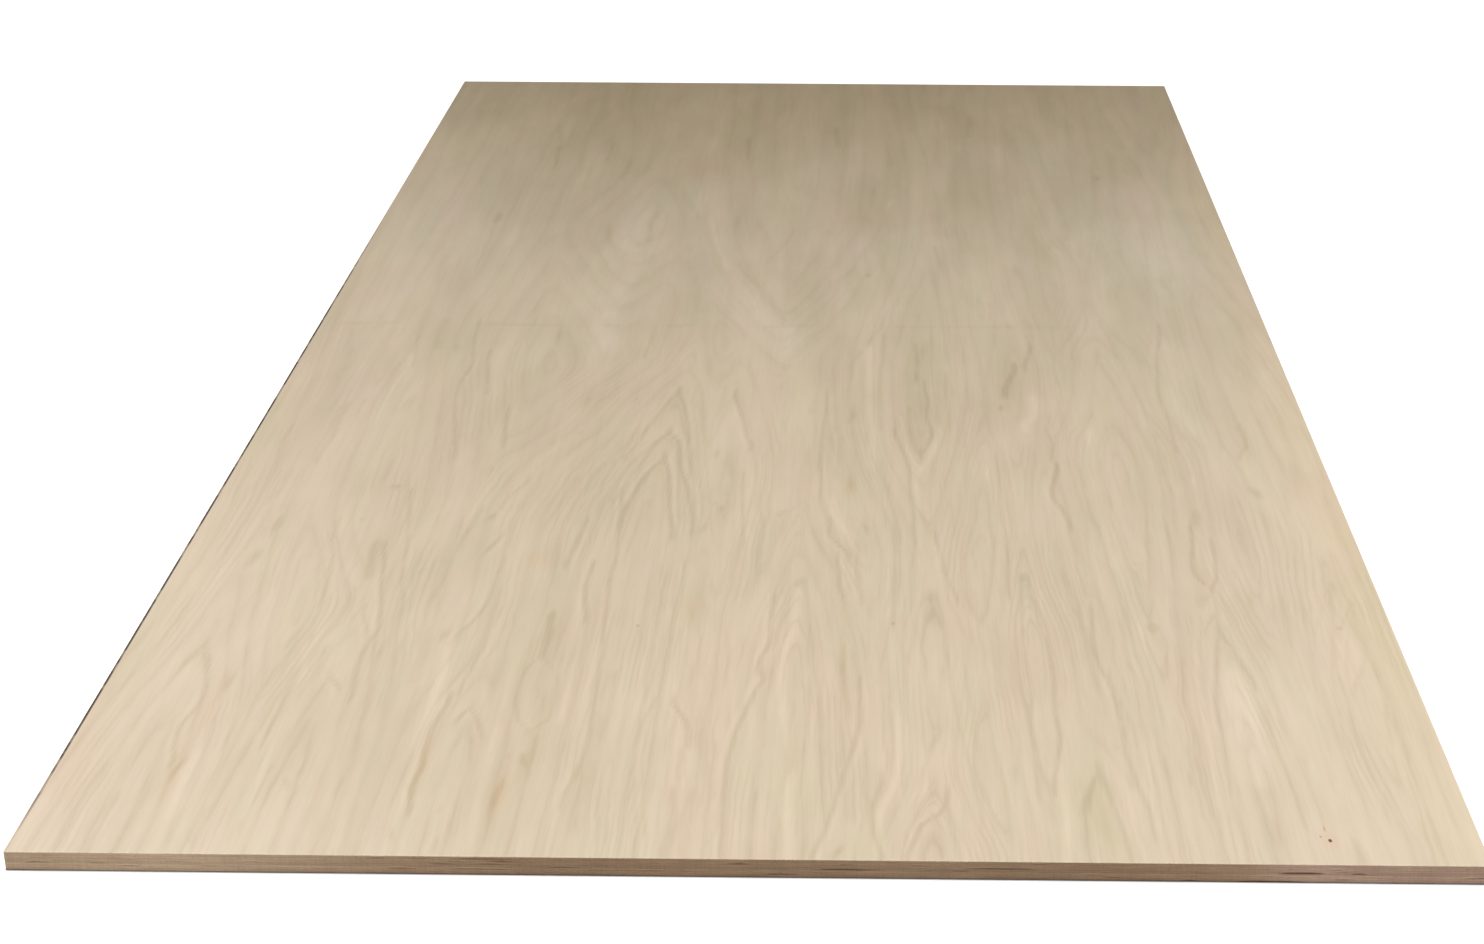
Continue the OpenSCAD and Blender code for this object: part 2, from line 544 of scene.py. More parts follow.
    Line(((1051, 408), (1058, 372), (1063, 340), (1069, 300)), 0.9, 3.6),
    Line(((1074, 260), (1071, 196), (1075, 140), (1077, 60)), 0.6, 3),
    Line(((1092, 494), (1088, 450)), 0.7, 4.5),
    Line(((1085, 404), (1085, 362)), 0.7, 6),
    Line(((1082, 550), (1083, 516)), 0.5, 4),
    Line(((1096, 178), (1092, 140)), 0.4, 4),
    Line(((1114, 548), (1121, 506)), 0.4, 3.4),
    Line(((1139, 266), (1138, 236)), 0.6, 4),
    Line(((1188, 470), (1174, 428), (1164, 396)), 0.6, 4.5),
    Line(((1186, 384), (1172, 322), (1158, 286)), 0.5, 4),
    Line(((1190, 296), (1180, 236), (1172, 150)), 0.5, 5),
    Line(((1150, 110), (1148, 60)), 0.4, 4),
    # Lines that lean in to the great arches from the left.
    Line(((209, 716), (214, 682), (220, 644)), 0.7, 4),
    Line(((191, 738), (190, 722)), 0.9, 8),
    Line(((173, 652), (168, 640)), 0.6, 6),
    Line(((309, 664), (304, 644)), 1.05, 6),
    Line(((292, 676), (287, 620), (283, 580)), 0.7, 4.5),
    Line(((334, 752), (322, 716), (314, 680)), 0.7, 4.5),
    Line(((290, 790), (287, 756)), 0.55, 4),
    Line(((387, 760), (379, 706), (372, 662), (364, 610)), 0.6, 4.5),
    Line(((421, 800), (417, 740), (408, 690), (398, 640)), 0.5, 3.4),
    Line(((446, 950), (440, 896), (435, 850), (424, 790), (416, 740)), 0.65, 3.4),
    Line(((432, 1000), (427, 970)), 0.7, 4),
    Line(((205, 1260), (207, 1200), (213, 1140), (218, 1096), (213, 1040), (214, 996), (221, 944),
          (228, 900), (234, 860), (242, 816)), 0.76, 3.4),
    Line(((220, 962), (232, 874)), 0.6, 3),
    Line(((234, 1140), (239, 1088), (246, 1042), (250, 1004)), 0.75, 4),
    Line(((136, 1190), (140, 1140), (146, 1096)), 0.6, 4),
    Line(((160, 1250), (158, 1200), (164, 1150)), 0.42, 10),
    Line(((188, 1170), (194, 1134)), 0.7, 6),
    Line(((165, 1000), (160, 944)), 0.6, 7),
    Line(((284, 956), (287, 904), (292, 848)), 0.75, 3.4),
    Line(((276, 1250), (273, 1196), (282, 1140)), 0.5, 3.6),
    Line(((312, 1226), (315, 1160)), 0.7, 6),
    Line(((377, 892), (376, 880)), 0.7, 5),
    Line(((376, 1010), (371, 956)), 0.7, 10),
    Line(((433, 1230), (432, 1166), (428, 1130)), 0.7, 4.5),
    Line(((457, 1156), (455, 1090)), 0.45, 4),
    Line(((478, 1246), (460, 1226)), 0.6, 10),
    # The great arches themselves.
    Line(((479, 816), (468, 786), (459, 752), (452, 708), (446, 650)), 0.95, 3.6),
    Line(((479, 818), (486, 776), (491, 728), (495, 676), (503, 610)), 1.0, 3.2),
    Line(((478, 888), (466, 860), (458, 816), (449, 776), (440, 730), (432, 690)), 0.75, 4),
    Line(((479, 888), (490, 864), (495, 826), (499, 780), (509, 740), (516, 694), (523, 620)), 0.9, 3.6),
    Line(((480, 1018), (472, 984), (462, 944), (452, 900), (444, 850), (434, 810)), 0.75, 4),
    Line(((481, 1018), (490, 966), (497, 920), (501, 876), (506, 820), (511, 770)), 0.85, 3.2),
    Line(((480, 1014), (480, 1002)), 0.7, 6),
    Line(((487, 1086), (470, 1052), (456, 1006), (446, 960)), 0.4, 5),
    Line(((489, 1086), (500, 1050), (507, 1016), (513, 960), (516, 900)), 0.55, 4),
    Line(((537, 1030), (534, 990), (530, 940)), 0.45, 4),
    Line(((549, 1010), (556, 960), (564, 916), (569, 878), (575, 846)), 0.95, 3.4),
    Line(((571, 770), (572, 710), (575, 650), (578, 590)), 0.75, 3),
    Line(((583, 800), (587, 740), (586, 690)), 0.5, 2.6),
    Line(((592, 830), (594, 760), (592, 700), (594, 650)), 0.65, 2.6),
    Line(((536, 704), (550, 684), (548, 660)), 0.7, 6),
    Line(((537, 648), (530, 610)), 0.75, 7),
    Line(((537, 840), (535, 812)), 0.6, 5),
    Line(((560, 1120), (567, 1060), (571, 1000)), 0.4, 4),
    Line(((608, 1108), (606, 1084)), 0.8, 6),
    # Wavy lines and the spindle.
    Line(((658, 1010), (659, 960), (656, 900), (654, 840), (656, 760), (657, 700), (664, 650)), 0.75, 3),
    Line(((690, 980), (690, 936), (685, 916)), 0.8, 6),
    Line(((641, 970), (641, 940)), 0.5, 6),
    Line(((677, 880), (676, 810)), 0.5, 3.6),
    Line(((640, 844), (641, 790)), 0.6, 6),
    Line(((689, 768), (690, 722)), 0.5, 6),
    Line(((621, 682), (616, 660)), 0.7, 8),
    Line(((703, 652), (709, 616)), 0.8, 5),
    Line(((726, 1270), (723, 1232), (712, 1200), (704, 1160), (690, 1120), (687, 1060)), 0.6, 4),
    Line(((728, 1200), (727, 1140), (724, 1060), (724, 980), (723, 910)), 0.6, 4),
    Line(((739, 896), (746, 850), (753, 806), (755, 740), (757, 680), (758, 600)), 0.95, 3.2),
    Line(((724, 810), (727, 762), (732, 704), (739, 648), (743, 600)), 0.7, 3),
    Line(((767, 1170), (768, 1120), (767, 1060)), 0.7, 5),
    Line(((779, 1180), (777, 1130)), 0.6, 6),
    Line(((776, 1040), (779, 990), (777, 930), (782, 890), (775, 850), (768, 818)), 0.85, 3.4),
    Line(((756, 960), (756, 900), (761, 850), (767, 818)), 0.75, 3.4),
    Line(((766, 850), (767, 820)), 0.9, 6),
    Line(((803, 1070), (801, 1000), (803, 950), (803, 900)), 0.65, 3),
    Line(((820, 1220), (819, 1150)), 0.4, 3),
    Line(((888, 1102), (884, 1072), (877, 1046), (872, 1012)), 1.3, 5),
    Line(((866, 978), (865, 960)), 0.9, 5),
    Line(((912, 1174), (906, 1130), (901, 1100)), 0.95, 5),
    Line(((912, 1260), (915, 1210), (912, 1170)), 0.5, 8),
    Line(((920, 940), (915, 900), (919, 862), (916, 824)), 0.7, 3.6),
    Line(((920, 800), (915, 764), (910, 736), (911, 708), (918, 684), (923, 640)), 1.0, 3.6),
    Line(((936, 1110), (940, 1040), (938, 990)), 0.5, 2.8),
    Line(((952, 1170), (949, 1120)), 0.5, 3),
    Line(((990, 1270), (985, 1230), (972, 1190), (962, 1130)), 0.5, 4),
    Line(((994, 1168), (991, 1104)), 0.65, 6),
    Line(((1008, 1260), (1014, 1206), (1018, 1140)), 0.5, 5),
    Line(((1082, 1250), (1078, 1200), (1068, 1140), (1063, 1080), (1057, 1010), (1060, 930),
          (1058, 850)), 0.7, 3.6),
    Line(((1030, 1040), (1036, 950), (1038, 870), (1037, 800), (1040, 740), (1035, 640)), 0.5, 3.4),
    Line(((1007, 1036), (1009, 980)), 0.5, 4),
    Line(((1061, 690), (1056, 636)), 0.8, 7),
    Line(((975, 780), (973, 730)), 0.4, 5),
    Line(((1141, 920), (1137, 850), (1128, 830)), 0.7, 5),
    Line(((1130, 748), (1136, 716)), 0.8, 7),
    Line(((1105, 850), (1110, 790)), 0.4, 3.4),
    Line(((1165, 760), (1162, 690)), 0.5, 6),
    # Blurred lines of the far half.
    Line(((526, 1500), (540, 1440), (560, 1390), (577, 1340), (590, 1290), (600, 1240)), 0.5, 7),
    Line(((690, 1480), (668, 1420), (644, 1350), (618, 1280), (606, 1240)), 0.4, 7),
    Line(((708, 1450), (705, 1430)), 0.8, 7),
    Line(((600, 1640), (582, 1540), (566, 1480)), 0.45, 6),
    Line(((168, 1700), (167, 1650)), 1.1, 6),
    Line(((167, 1640), (169, 1560), (168, 1470)), 0.45, 5),
    Line(((398, 1710), (392, 1660), (396, 1580)), 0.6, 7),
    Line(((334, 1640), (345, 1560), (368, 1510)), 0.45, 7),
    Line(((432, 1800), (446, 1740), (460, 1680)), 0.45, 6),
    Line(((515, 1700), (518, 1640)), 0.7, 5),
    Line(((801, 1560), (806, 1480)), 0.6, 4),
    Line(((824, 1500), (832, 1430)), 0.5, 4),
    Line(((908, 1490), (913, 1430)), 0.7, 8),
    Line(((990, 1670), (989, 1600)), 0.5, 9),
    Line(((274, 1370), (271, 1290)), 0.5, 5),
    Line(((404, 1440), (400, 1400)), 0.5, 6),
    Line(((714, 1830), (711, 1750)), 0.6, 8),
    Line(((750, 1860), (752, 1780)), 0.4, 8),
    Line(((214, 2040), (219, 1930)), 0.7, 5),
    Line(((198, 2160), (210, 2080)), 0.5, 5),
    Line(((298, 2060), (297, 1970)), 0.6, 5),
    Line(((256, 1990), (262, 1890)), 0.4, 6),
    Line(((335, 1960), (329, 1870)), 0.6, 5),
    Line(((362, 2010), (364, 1920)), 0.5, 5),
    Line(((513, 2090), (517, 1990)), 0.7, 6),
    Line(((600, 2110), (604, 2010)), 0.4, 8),
    Line(((654, 2160), (658, 2060)), 0.7, 8),
    Line(((740, 2120), (738, 1960)), 0.5, 8),
    Line(((810, 2020), (822, 1930)), 0.4, 7),
    Line(((876, 2240), (868, 2120)), 0.6, 10),
    Line(((1056, 1905), (1054, 1880)), 0.9, 8),
    Line(((1104, 1430), (1112, 1350)), 0.4, 7),
    Line(((118, 1500), (122, 1400)), 0.4, 8),
    Line(((232, 1620), (236, 1500)), 0.35, 7),
    # Groups of fine parallel lines.
    *group(Line(((716, 1240), (714, 1100), (715, 1000), (716, 900), (720, 800), (724, 700), (728, 640)),
                0.5, 2.4), 10, -12),
    *group(Line(((788, 1230), (786, 1100), (788, 1000), (790, 900), (786, 820), (778, 740), (776, 650)),
                0.5, 2.4), 11, 21),
    *group(Line(((818, 1200), (815, 1000), (820, 850), (816, 700)), 0.4, 2.4), 13),
    *group(Line(((944, 1240), (938, 1100), (934, 1000), (936, 900), (934, 800), (940, 700), (944, 640)),
                0.45, 2.6), 11),
    *group(Line(((1012, 1010), (1008, 860), (1010, 700)), 0.4, 2.8), 12),
    *group(Line(((1100, 1240), (1090, 1100), (1078, 960), (1076, 820)), 0.4, 3.0), 12, -24),
    *group(Line(((464, 1004), (450, 930), (438, 870), (426, 800), (414, 730)), 0.5, 2.6), -13, -25, -40),
    *group(Line(((498, 1014), (506, 930), (513, 860), (519, 790), (526, 720), (531, 650)), 0.5, 2.4), 9),
    *group(Line(((470, 800), (462, 748), (456, 700), (450, 640)), 0.45, 2.2), -22),
    *group(Line(((562, 850), (561, 760), (564, 680), (566, 600)), 0.45, 2.4), 34),
    *group(Line(((745, 460), (741, 400), (743, 300), (741, 200), (740, 120)), 0.5, 2.2), 9),
    *group(Line(((815, 480), (818, 380), (822, 300), (820, 200), (826, 100),
                (830, 20)), 0.45, 2.2), 9, 18),
    *group(Line(((812, 640), (816, 580), (822, 520), (828, 450)), 0.4, 2.4), 16),
    *group(Line(((928, 620), (931, 520), (936, 440)), 0.45, 2.2), 9, 19, 28),
    *group(Line(((936, 320), (945, 250), (950, 180), (954, 100), (960, 20)), 0.5, 2.2), -8, 8),
    *group(Line(((1026, 430), (1020, 380), (1012, 280), (1008, 180), (1006, 80),
                (1004, 0)), 0.55, 2.4), 9),
    *group(Line(((1100, 560), (1104, 480), (1108, 400), (1108, 300)), 0.45, 2.6), 10),
    *group(Line(((1180, 480), (1162, 410), (1150, 350), (1140, 270), (1136, 180)), 0.5, 2.8), 14, -18),
    *group(Line(((508, 640), (510, 560), (507, 480), (511, 400), (508, 300),
                (500, 200)), 0.55, 2.0), 7, -10),
    *group(Line(((148, 540), (156, 480), (160, 420), (162, 360), (160, 300)), 0.5, 2.4), 9),
    *group(Line(((178, 170), (181, 100), (180, 30)), 0.5, 2.2), 8),
    *group(Line(((222, 640), (228, 580), (236, 520), (243, 460)), 0.55, 2.4), 10),
    *group(Line(((130, 270), (128, 180), (131, 80), (134, 0)), 0.35, 2.6), 12),
    *group(Line(((640, 640), (646, 560), (650, 520)), 0.4, 2.6), 18),
    *group(Line(((670, 330), (664, 250), (668, 160), (664, 70)), 0.4, 2.6), 10),
)

BRIGHT_LINES = (
    Line(((178, 378), (177, 340), (180, 304)), 0.9, 4),
    Line(((184, 250), (181, 190), (183, 120), (184, 60)), 0.8, 3.6),
    Line(((119, 160), (120, 60)), 0.6, 5),
    Line(((219, 130), (218, 96)), 0.5, 5),
    Line(((308, 350), (311, 270), (309, 180)), 0.9, 6),
    Line(((377, 200), (376, 100), (380, 20)), 0.7, 6),
    Line(((430, 320), (431, 230)), 0.8, 5),
    Line(((553, 170), (551, 102)), 0.7, 9),
    Line(((514, 450), (514, 416)), 0.7, 3),
    Line(((508, 640), (510, 560), (507, 470)), 0.5, 3),
    Line(((522, 620), (518, 520)), 0.5, 3),
    Line(((482, 470), (484, 420)), 0.3, 5),
    Line(((638, 480), (636, 400), (628, 310), (632, 250), (640, 180), (641, 90), (646, 0)), 1.0, 5),
    Line(((696, 380), (682, 356), (676, 340)), 0.6, 4),
    Line(((733, 470), (730, 400), (731, 340), (729, 290)), 0.6, 4),
    Line(((737, 226), (737, 160), (733, 120), (722, 74), (718, 20)), 1.0, 3.6),
    Line(((703, 190), (694, 150), (683, 96)), 0.6, 3),
    Line(((764, 130), (758, 96)), 0.6, 7),
    Line(((788, 440), (792, 350), (796, 270)), 0.4, 4),
    Line(((783, 110), (784, 60)), 0.6, 3),
    Line(((877, 150), (877, 70), (873, 0)), 1.1, 5),
    Line(((816, 100), (820, 40)), 0.6, 3),
    Line(((834, 96), (838, 30)), 0.6, 3),
    Line(((934, 100), (933, 50), (938, 0)), 0.8, 5),
    Line(((973, 470), (975, 400)), 0.7, 3.6),
    Line(((1024, 420), (1018, 340), (1012, 280)), 0.5, 4),
    Line(((1014, 260), (1012, 160), (1009, 90)), 0.7, 3),
    Line(((1052, 320), (1053, 220), (1048, 130)), 0.7, 13),
    Line(((1108, 420), (1110, 340), (1106, 280)), 0.5, 6),
    Line(((1106, 130), (1104, 40)), 0.3, 6),
    Line(((508, 860), (505, 800), (519, 740), (525, 690), (530, 640)), 0.7, 4),
    Line(((580, 760), (580, 690), (582, 620)), 0.7, 3.4),
    Line(((447, 770), (446, 744)), 0.8, 4),
    Line(((486, 1100), (487, 1070)), 0.6, 5),
    Line(((478, 1024), (476, 1014)), 0.6, 5),
    Line(((356, 880), (348, 816)), 0.7, 6),
    Line(((250, 810), (248, 770)), 0.6, 4),
    Line(((140, 1120), (136, 1000), (134, 930)), 0.6, 6),
    Line(((256, 700), (254, 640)), 0.5, 6),
    Line(((548, 790), (552, 730)), 0.6, 6),
    Line(((559, 1020), (566, 960)), 0.5, 3.4),
    Line(((707, 1160), (711, 1060), (709, 980), (714, 900), (711, 800)), 0.9, 8),
    Line(((668, 700), (676, 650), (692, 600)), 0.7, 6),
    Line(((749, 950), (744, 920)), 0.5, 4),
    Line(((783, 1040), (784, 1000)), 0.6, 3),
    Line(((792, 900), (780, 830), (764, 780), (762, 700)), 0.7, 4),
    Line(((841, 800), (840, 760)), 0.8, 4),
    Line(((905, 1000), (903, 950), (890, 910)), 1.0, 8),
    Line(((819, 1250), (822, 1200)), 0.5, 4),
    Line(((806, 1110), (808, 1020)), 0.5, 4),
    Line(((966, 910), (962, 850)), 0.7, 5),
    Line(((924, 816), (928, 770)), 0.6, 4),
    Line(((1069, 780), (1068, 746)), 0.8, 5),
    Line(((1114, 860), (1110, 800)), 0.6, 4),
    Line(((1082, 1200), (1080, 1100), (1075, 1000), (1082, 900)), 0.6, 10),
    Line(((1029, 960), (1028, 900)), 0.5, 4),
    Line(((985, 820), (983, 790)), 0.6, 5),
    Line(((478, 1680), (486, 1620), (496, 1550), (512, 1460)), 0.8, 5),
    Line(((740, 1780), (734, 1720)), 1.0, 4),
    Line(((376, 1560), (380, 1520)), 0.9, 7),
    Line(((910, 2060), (908, 1990)), 0.7, 7),
    Line(((848, 2080), (852, 2020)), 0.6, 9),
    Line(((820, 2240), (826, 2160)), 0.5, 7),
    Line(((430, 1420), (434, 1370)), 0.5, 4),
    Line(((975, 1440), (972, 1410)), 0.6, 5),
    Line(((968, 1560), (972, 1530)), 0.7, 5),
    Line(((625, 1620), (622, 1540), (616, 1460)), 0.5, 6),
)

PALE_CLOUDS = (
    Cloud(372, 1240, 26, 110, 1.0),
    Cloud(378, 1370, 20, 60, 0.6),
    Cloud(340, 960, 30, 70, 0.4),
    Cloud(604, 1180, 17, 75, 1.0),
    Cloud(545, 1345, 17, 110, 0.8, lean=-0.33),
    Cloud(660, 1370, 17, 90, 0.5, lean=0.3),
    Cloud(372, 1620, 26, 110, 0.8),
    Cloud(390, 1790, 46, 70, 0.4),
    Cloud(450, 1780, 20, 110, 0.6, lean=-0.2),
    Cloud(693, 1530, 15, 62, 0.9),
    Cloud(645, 1930, 44, 100, 0.7),
    Cloud(690, 2220, 26, 130, 0.5),
    Cloud(970, 2010, 62, 90, 1.0),
    Cloud(855, 1960, 40, 120, 0.5, lean=0.3),
    Cloud(1100, 1560, 74, 150, 1.0),
    Cloud(1075, 1830, 30, 70, 0.5),
    Cloud(540, 890, 20, 60, 0.6),
    Cloud(870, 870, 24, 60, 0.4),
    Cloud(1052, 220, 18, 110, 0.6),
    Cloud(140, 900, 34, 160, 0.3),
    Cloud(310, 270, 10, 110, 0.4),
    Cloud(640, 1590, 30, 60, 0.4),
    Cloud(770, 1620, 46, 60, 0.4),
    Cloud(1090, 960, 26, 170, 0.35),
    Cloud(230, 0, 330, 75, 0.6),
    # Painted light: a faint lighter band across the whole width, about 1.5 m from the near end.
    Cloud(610, 1540, 2000, 300, 0.35),
)

OLIVE_CLOUDS = (
    Cloud(402, 400, 9, 60, 0.8),
    Cloud(388, 290, 7, 70, 0.7),
    Cloud(417, 240, 7, 60, 0.7),
    Cloud(458, 160, 8, 130, 0.5),
    Cloud(908, 75, 14, 75, 0.9),
    Cloud(768, 35, 14, 40, 0.5),
    Cloud(773, 450, 10, 50, 0.6),
    Cloud(884, 1050, 9, 75, 0.7),
    Cloud(770, 1130, 12, 100, 0.5),
    Cloud(768, 930, 13, 110, 0.55),
    Cloud(689, 740, 9, 40, 0.6),
    Cloud(688, 300, 8, 120, 0.35),
    Cloud(375, 985, 18, 50, 0.4),
    Cloud(205, 560, 10, 70, 0.4),
    Cloud(300, 590, 15, 50, 0.4),
    Cloud(340, 900, 26, 60, 0.3),
    Cloud(474, 720, 14, 90, 0.5),
    Cloud(480, 860, 13, 30, 0.4),
    Cloud(165, 1190, 22, 80, 0.4),
    Cloud(548, 1440, 20, 60, 0.5),
    Cloud(1135, 880, 14, 90, 0.5),
    Cloud(240, 1230, 30, 90, 0.3),
    Cloud(900, 1500, 30, 120, 0.3),
    Cloud(220, 2180, 60, 260, 0.3),
    Cloud(470, 2170, 60, 110, 0.35),
    Cloud(930, 2160, 36, 110, 0.3),
    Cloud(1090, 2000, 50, 160, 0.5),
    Cloud(830, 1790, 60, 90, 0.3),
    Cloud(1060, 1905, 26, 60, 0.3),
    Cloud(180, 1800, 60, 120, 0.3),
    # Painted shade: the far end darker and yellower across the whole width.
    Cloud(610, 2500, 2000, 480, 0.4),
)

RUST_CLOUDS = (
    Cloud(394, 96, 6, 40, 0.9),
    Cloud(410, 150, 7, 26, 0.5),
    Cloud(110, 250, 9, 50, 0.4),
    Cloud(106, 130, 7, 50, 0.6),
    Cloud(320, 140, 4, 60, 0.6),
    Cloud(368, 552, 16, 26, 0.5),
    Cloud(535, 440, 8, 34, 0.5),
    Cloud(182, 1070, 9, 70, 0.35),
    Cloud(640, 790, 7, 110, 0.4),
    Cloud(690, 745, 7, 34, 0.5),
    Cloud(684, 330, 5, 60, 0.4),
    Cloud(1048, 520, 6, 26, 0.5),
    Cloud(1140, 850, 10, 30, 0.3),
    Cloud(700, 1700, 44, 60, 0.45),
    Cloud(430, 1920, 44, 90, 0.25),
    Cloud(120, 1240, 30, 120, 0.25),
)

WARM_CLOUDS = (
    Cloud(1205, 650, 44, 700, 0.5),
    Cloud(1210, 1700, 34, 500, 0.35),
    Cloud(0, 500, 40, 900, 0.15),
    Cloud(20, 1500, 40, 500, 0.12),
    # Painted light: a warmer, less blue cast across the whole width at the far end.
    Cloud(610, 2500, 2000, 640, 0.85),
)

FACE_FIGURE = Figure(CRESTS, DARK_LINES, BRIGHT_LINES, PALE_CLOUDS, OLIVE_CLOUDS, RUST_CLOUDS, WARM_CLOUDS)


def plain_figure(span: Span, seed: int) -> Figure:
    """Quiet figure with a few wandering crests, for the hidden face.

    Args:
        span: Box of the veneer.
        seed: Seed of the draw.

    Returns:
        The figure.
    """
    draw = random.Random(seed)
    width, length = span.size.x / MM, span.size.y / MM
    crest_count, station_count = 9, 7
    sway, ring_range, spacing_range = 22, (0.5, 5.5), (14, 20)
    crests = []
    for i in range(crest_count):
        centre = width * (i + 0.5) / crest_count
        stations = tuple(
            (
                length * j / (station_count - 1),
                centre + draw.uniform(-sway, sway),
                draw.uniform(*ring_range),
                draw.uniform(*spacing_range),
                draw.uniform(*spacing_range),
            )
            for j in range(station_count)
        )
        crests.append(Crest(stations))
    return Figure(tuple(crests))


# --- Materials -------------------------------------------------------------------------------


class Nodes:
    """Builder for one material's node tree, with its patterns on Object coordinates."""

    def __init__(self, name: str) -> None:
        """Starts an empty material with a Principled shader.

        Args:
            name: Name of the material.
        """
        self.material = bpy.data.materials.new(name)
        self.material.use_nodes = True
        self.tree = self.material.node_tree
        self.tree.nodes.clear()
        self.shader = self.add("ShaderNodeBsdfPrincipled")
        output = self.add("ShaderNodeOutputMaterial")
        self.tree.links.new(self.shader.outputs["BSDF"], output.inputs["Surface"])
        self.place = self.add("ShaderNodeTexCoord").outputs["Object"]

    def add(self, kind: str, **settings: Any) -> bpy.types.Node:
        """Adds a node.

        Args:
            kind: Type of the node.
            settings: Properties to set on it.

        Returns:
            The node.
        """
        node = self.tree.nodes.new(kind)
        for name, value in settings.items():
            setattr(node, name, value)
        return node

    def feed(self, target: Socket, value: "Socket | float | Sequence[float]") -> None:
        """Links a socket to an input, or sets the input to a constant.

        Args:
            target: The input.
            value: What it gets.
        """
        if isinstance(value, bpy.types.NodeSocket):
            self.tree.links.new(value, target)
        else:
            target.default_value = value

    def axis(self, name: str) -> Socket:
        """The place along X, Y or Z, in metres."""
        split = self.add("ShaderNodeSeparateXYZ")
        self.feed(split.inputs[0], self.place)
        return split.outputs[name]

    def attribute(self, which: Attribute) -> Socket:
        """A value that the mesh carries at its points."""
        return self.add("ShaderNodeAttribute", attribute_name=which.value).outputs["Fac"]

    def mapped(self, cell: RGB, shift: RGB = (0.0, 0.0, 0.0)) -> Socket:
        """Coordinates in cells of a given size.

        Args:
            cell: Size of one cell on each axis, in millimetres.
            shift: Offset in cells.

        Returns:
            The coordinates.
        """
        mapping = self.add("ShaderNodeMapping")
        self.feed(mapping.inputs["Vector"], self.place)
        self.feed(mapping.inputs["Scale"], tuple(1 / (size * MM) for size in cell))
        self.feed(mapping.inputs["Location"], shift)
        return mapping.outputs["Vector"]

    def noise(self, cell: RGB, detail: float = 2.0, rough: float = 0.5, seed: float = 0.0) -> Socket:
        """Noise from 0 to 1 about one half.

        Args:
            cell: Size of its coarsest features on each axis, in millimetres.
            detail: Octaves.
            rough: Strength of the finer octaves.
            seed: Moves the pattern.

        Returns:
            The value.
        """
        node = self.add("ShaderNodeTexNoise", noise_dimensions="3D")
        self.feed(node.inputs["Vector"], self.mapped(cell, (seed, seed * 0.7, seed * 1.3)))
        self.feed(node.inputs["Scale"], 1.0)
        self.feed(node.inputs["Detail"], detail)
        self.feed(node.inputs["Roughness"], rough)
        return node.outputs["Fac"]

    def math(self, operation: str, *values: "Socket | float") -> Socket:
        """Result of a Math node on some values."""
        node = self.add("ShaderNodeMath", operation=operation)
        for target, value in zip(node.inputs, values):
            self.feed(target, value)
        return node.outputs[0]

    def product(self, first: Socket, *others: "Socket | float") -> Socket:
        """The values multiplied together, from the left."""
        for value in others:
            first = self.math("MULTIPLY", first, value)
        return first

    def remap(self, value: Socket, low: float, high: float, to_low: float = 0.0,
              to_high: float = 1.0, smooth: bool = True) -> Socket:
        """Maps one range onto another, held level outside it.

        Args:
            value: What is mapped.
            low: Value that gives to_low.
            high: Value that gives to_high.
            to_low: Result at low.
            to_high: Result at high.
            smooth: Whether both ends ease in.

        Returns:
            The result.
        """
        node = self.add("ShaderNodeMapRange", interpolation_type="SMOOTHSTEP" if smooth else "LINEAR")
        for name, part in (("Value", value), ("From Min", low), ("From Max", high),
                           ("To Min", to_low), ("To Max", to_high)):
            self.feed(node.inputs[name], part)
        return node.outputs["Result"]

    def curve(self, value: Socket, stops: Sequence[tuple[float, float]]) -> Socket:
        """Value read off a line of stops.

        Args:
            value: What is looked up, from 0 to 1.
            stops: Place and value of each stop.

        Returns:
            The value there.
        """
        node = self.add("ShaderNodeValToRGB")
        self.feed(node.inputs["Fac"], value)
        elements = node.color_ramp.elements
        while len(elements) < len(stops):
            elements.new(0.5)
        for element, (place, level) in zip(elements, stops):
            element.position = place
            element.color = (level, level, level, 1.0)
        return node.outputs["Color"]

    def between(self, amount: "Socket | float", start: "Socket | RGB", end: "Socket | RGB",
                blend: str = "MIX") -> Socket:
        """Mix of two colours.

        Args:
            amount: How much of the second.
            start: First colour.
            end: Second colour.
            blend: Blend mode.

        Returns:
            The mixed colour.
        """
        node = self.add("ShaderNodeMix", data_type="RGBA", blend_type=blend)
        node.clamp_factor = True
        factor, first, second = node.inputs[0], node.inputs[6], node.inputs[7]
        self.feed(factor, amount)
        for target, colour in ((first, start), (second, end)):
            self.feed(target, colour if isinstance(colour, bpy.types.NodeSocket) else (*colour, 1.0))
        return node.outputs[2]

    def tinted(self, colour: "Socket | RGB", amount: "Socket | float", tint: RGB) -> Socket:
        """A colour multiplied by a tint where the amount is 1."""
        return self.between(amount, colour, tint, "MULTIPLY")

    def outline(self, reach: Vector, width: float) -> Socket:
        """Strip round the sheet's outline.

        Args:
            reach: Half the sheet's width and length, in metres.
            width: Width of the strip, in metres.

        Returns:
            1 at the outline, falling to 0 over the width.
        """
        gaps = [
            self.math("SUBTRACT", half, self.math("ABSOLUTE", self.axis(name)))
            for name, half in (("X", reach.x), ("Y", reach.y))
        ]
        return self.remap(self.math("MINIMUM", *gaps), width, 0.5 * width)

    def bump(self, height: Socket, depth: float, normal: "Socket | None" = None) -> Socket:
        """Normal of a surface with fine relief.

        Args:
            height: Relief from 0 to 1.
            depth: Metres from 0 to 1 in the relief.
            normal: Normal under it, if it isn't the mesh's own.

        Returns:
            The normal.
        """
        node = self.add("ShaderNodeBump")
        self.feed(node.inputs["Height"], height)
        self.feed(node.inputs["Distance"], depth)
        self.feed(node.inputs["Strength"], 1.0)
        if normal is not None:
            self.feed(node.inputs["Normal"], normal)
        return node.outputs["Normal"]


@dataclass(frozen=True)
class Fleck:
    """Small dark spot in a veneer, with a soft halo."""

    across: float
    along: float
    half_width: float
    half_length: float
    tint: RGB
    halo: float = 0.0
    """Half-width of the halo, which is half as long again, or 0 for none."""
    halo_tint: RGB = (1.0, 1.0, 1.0)


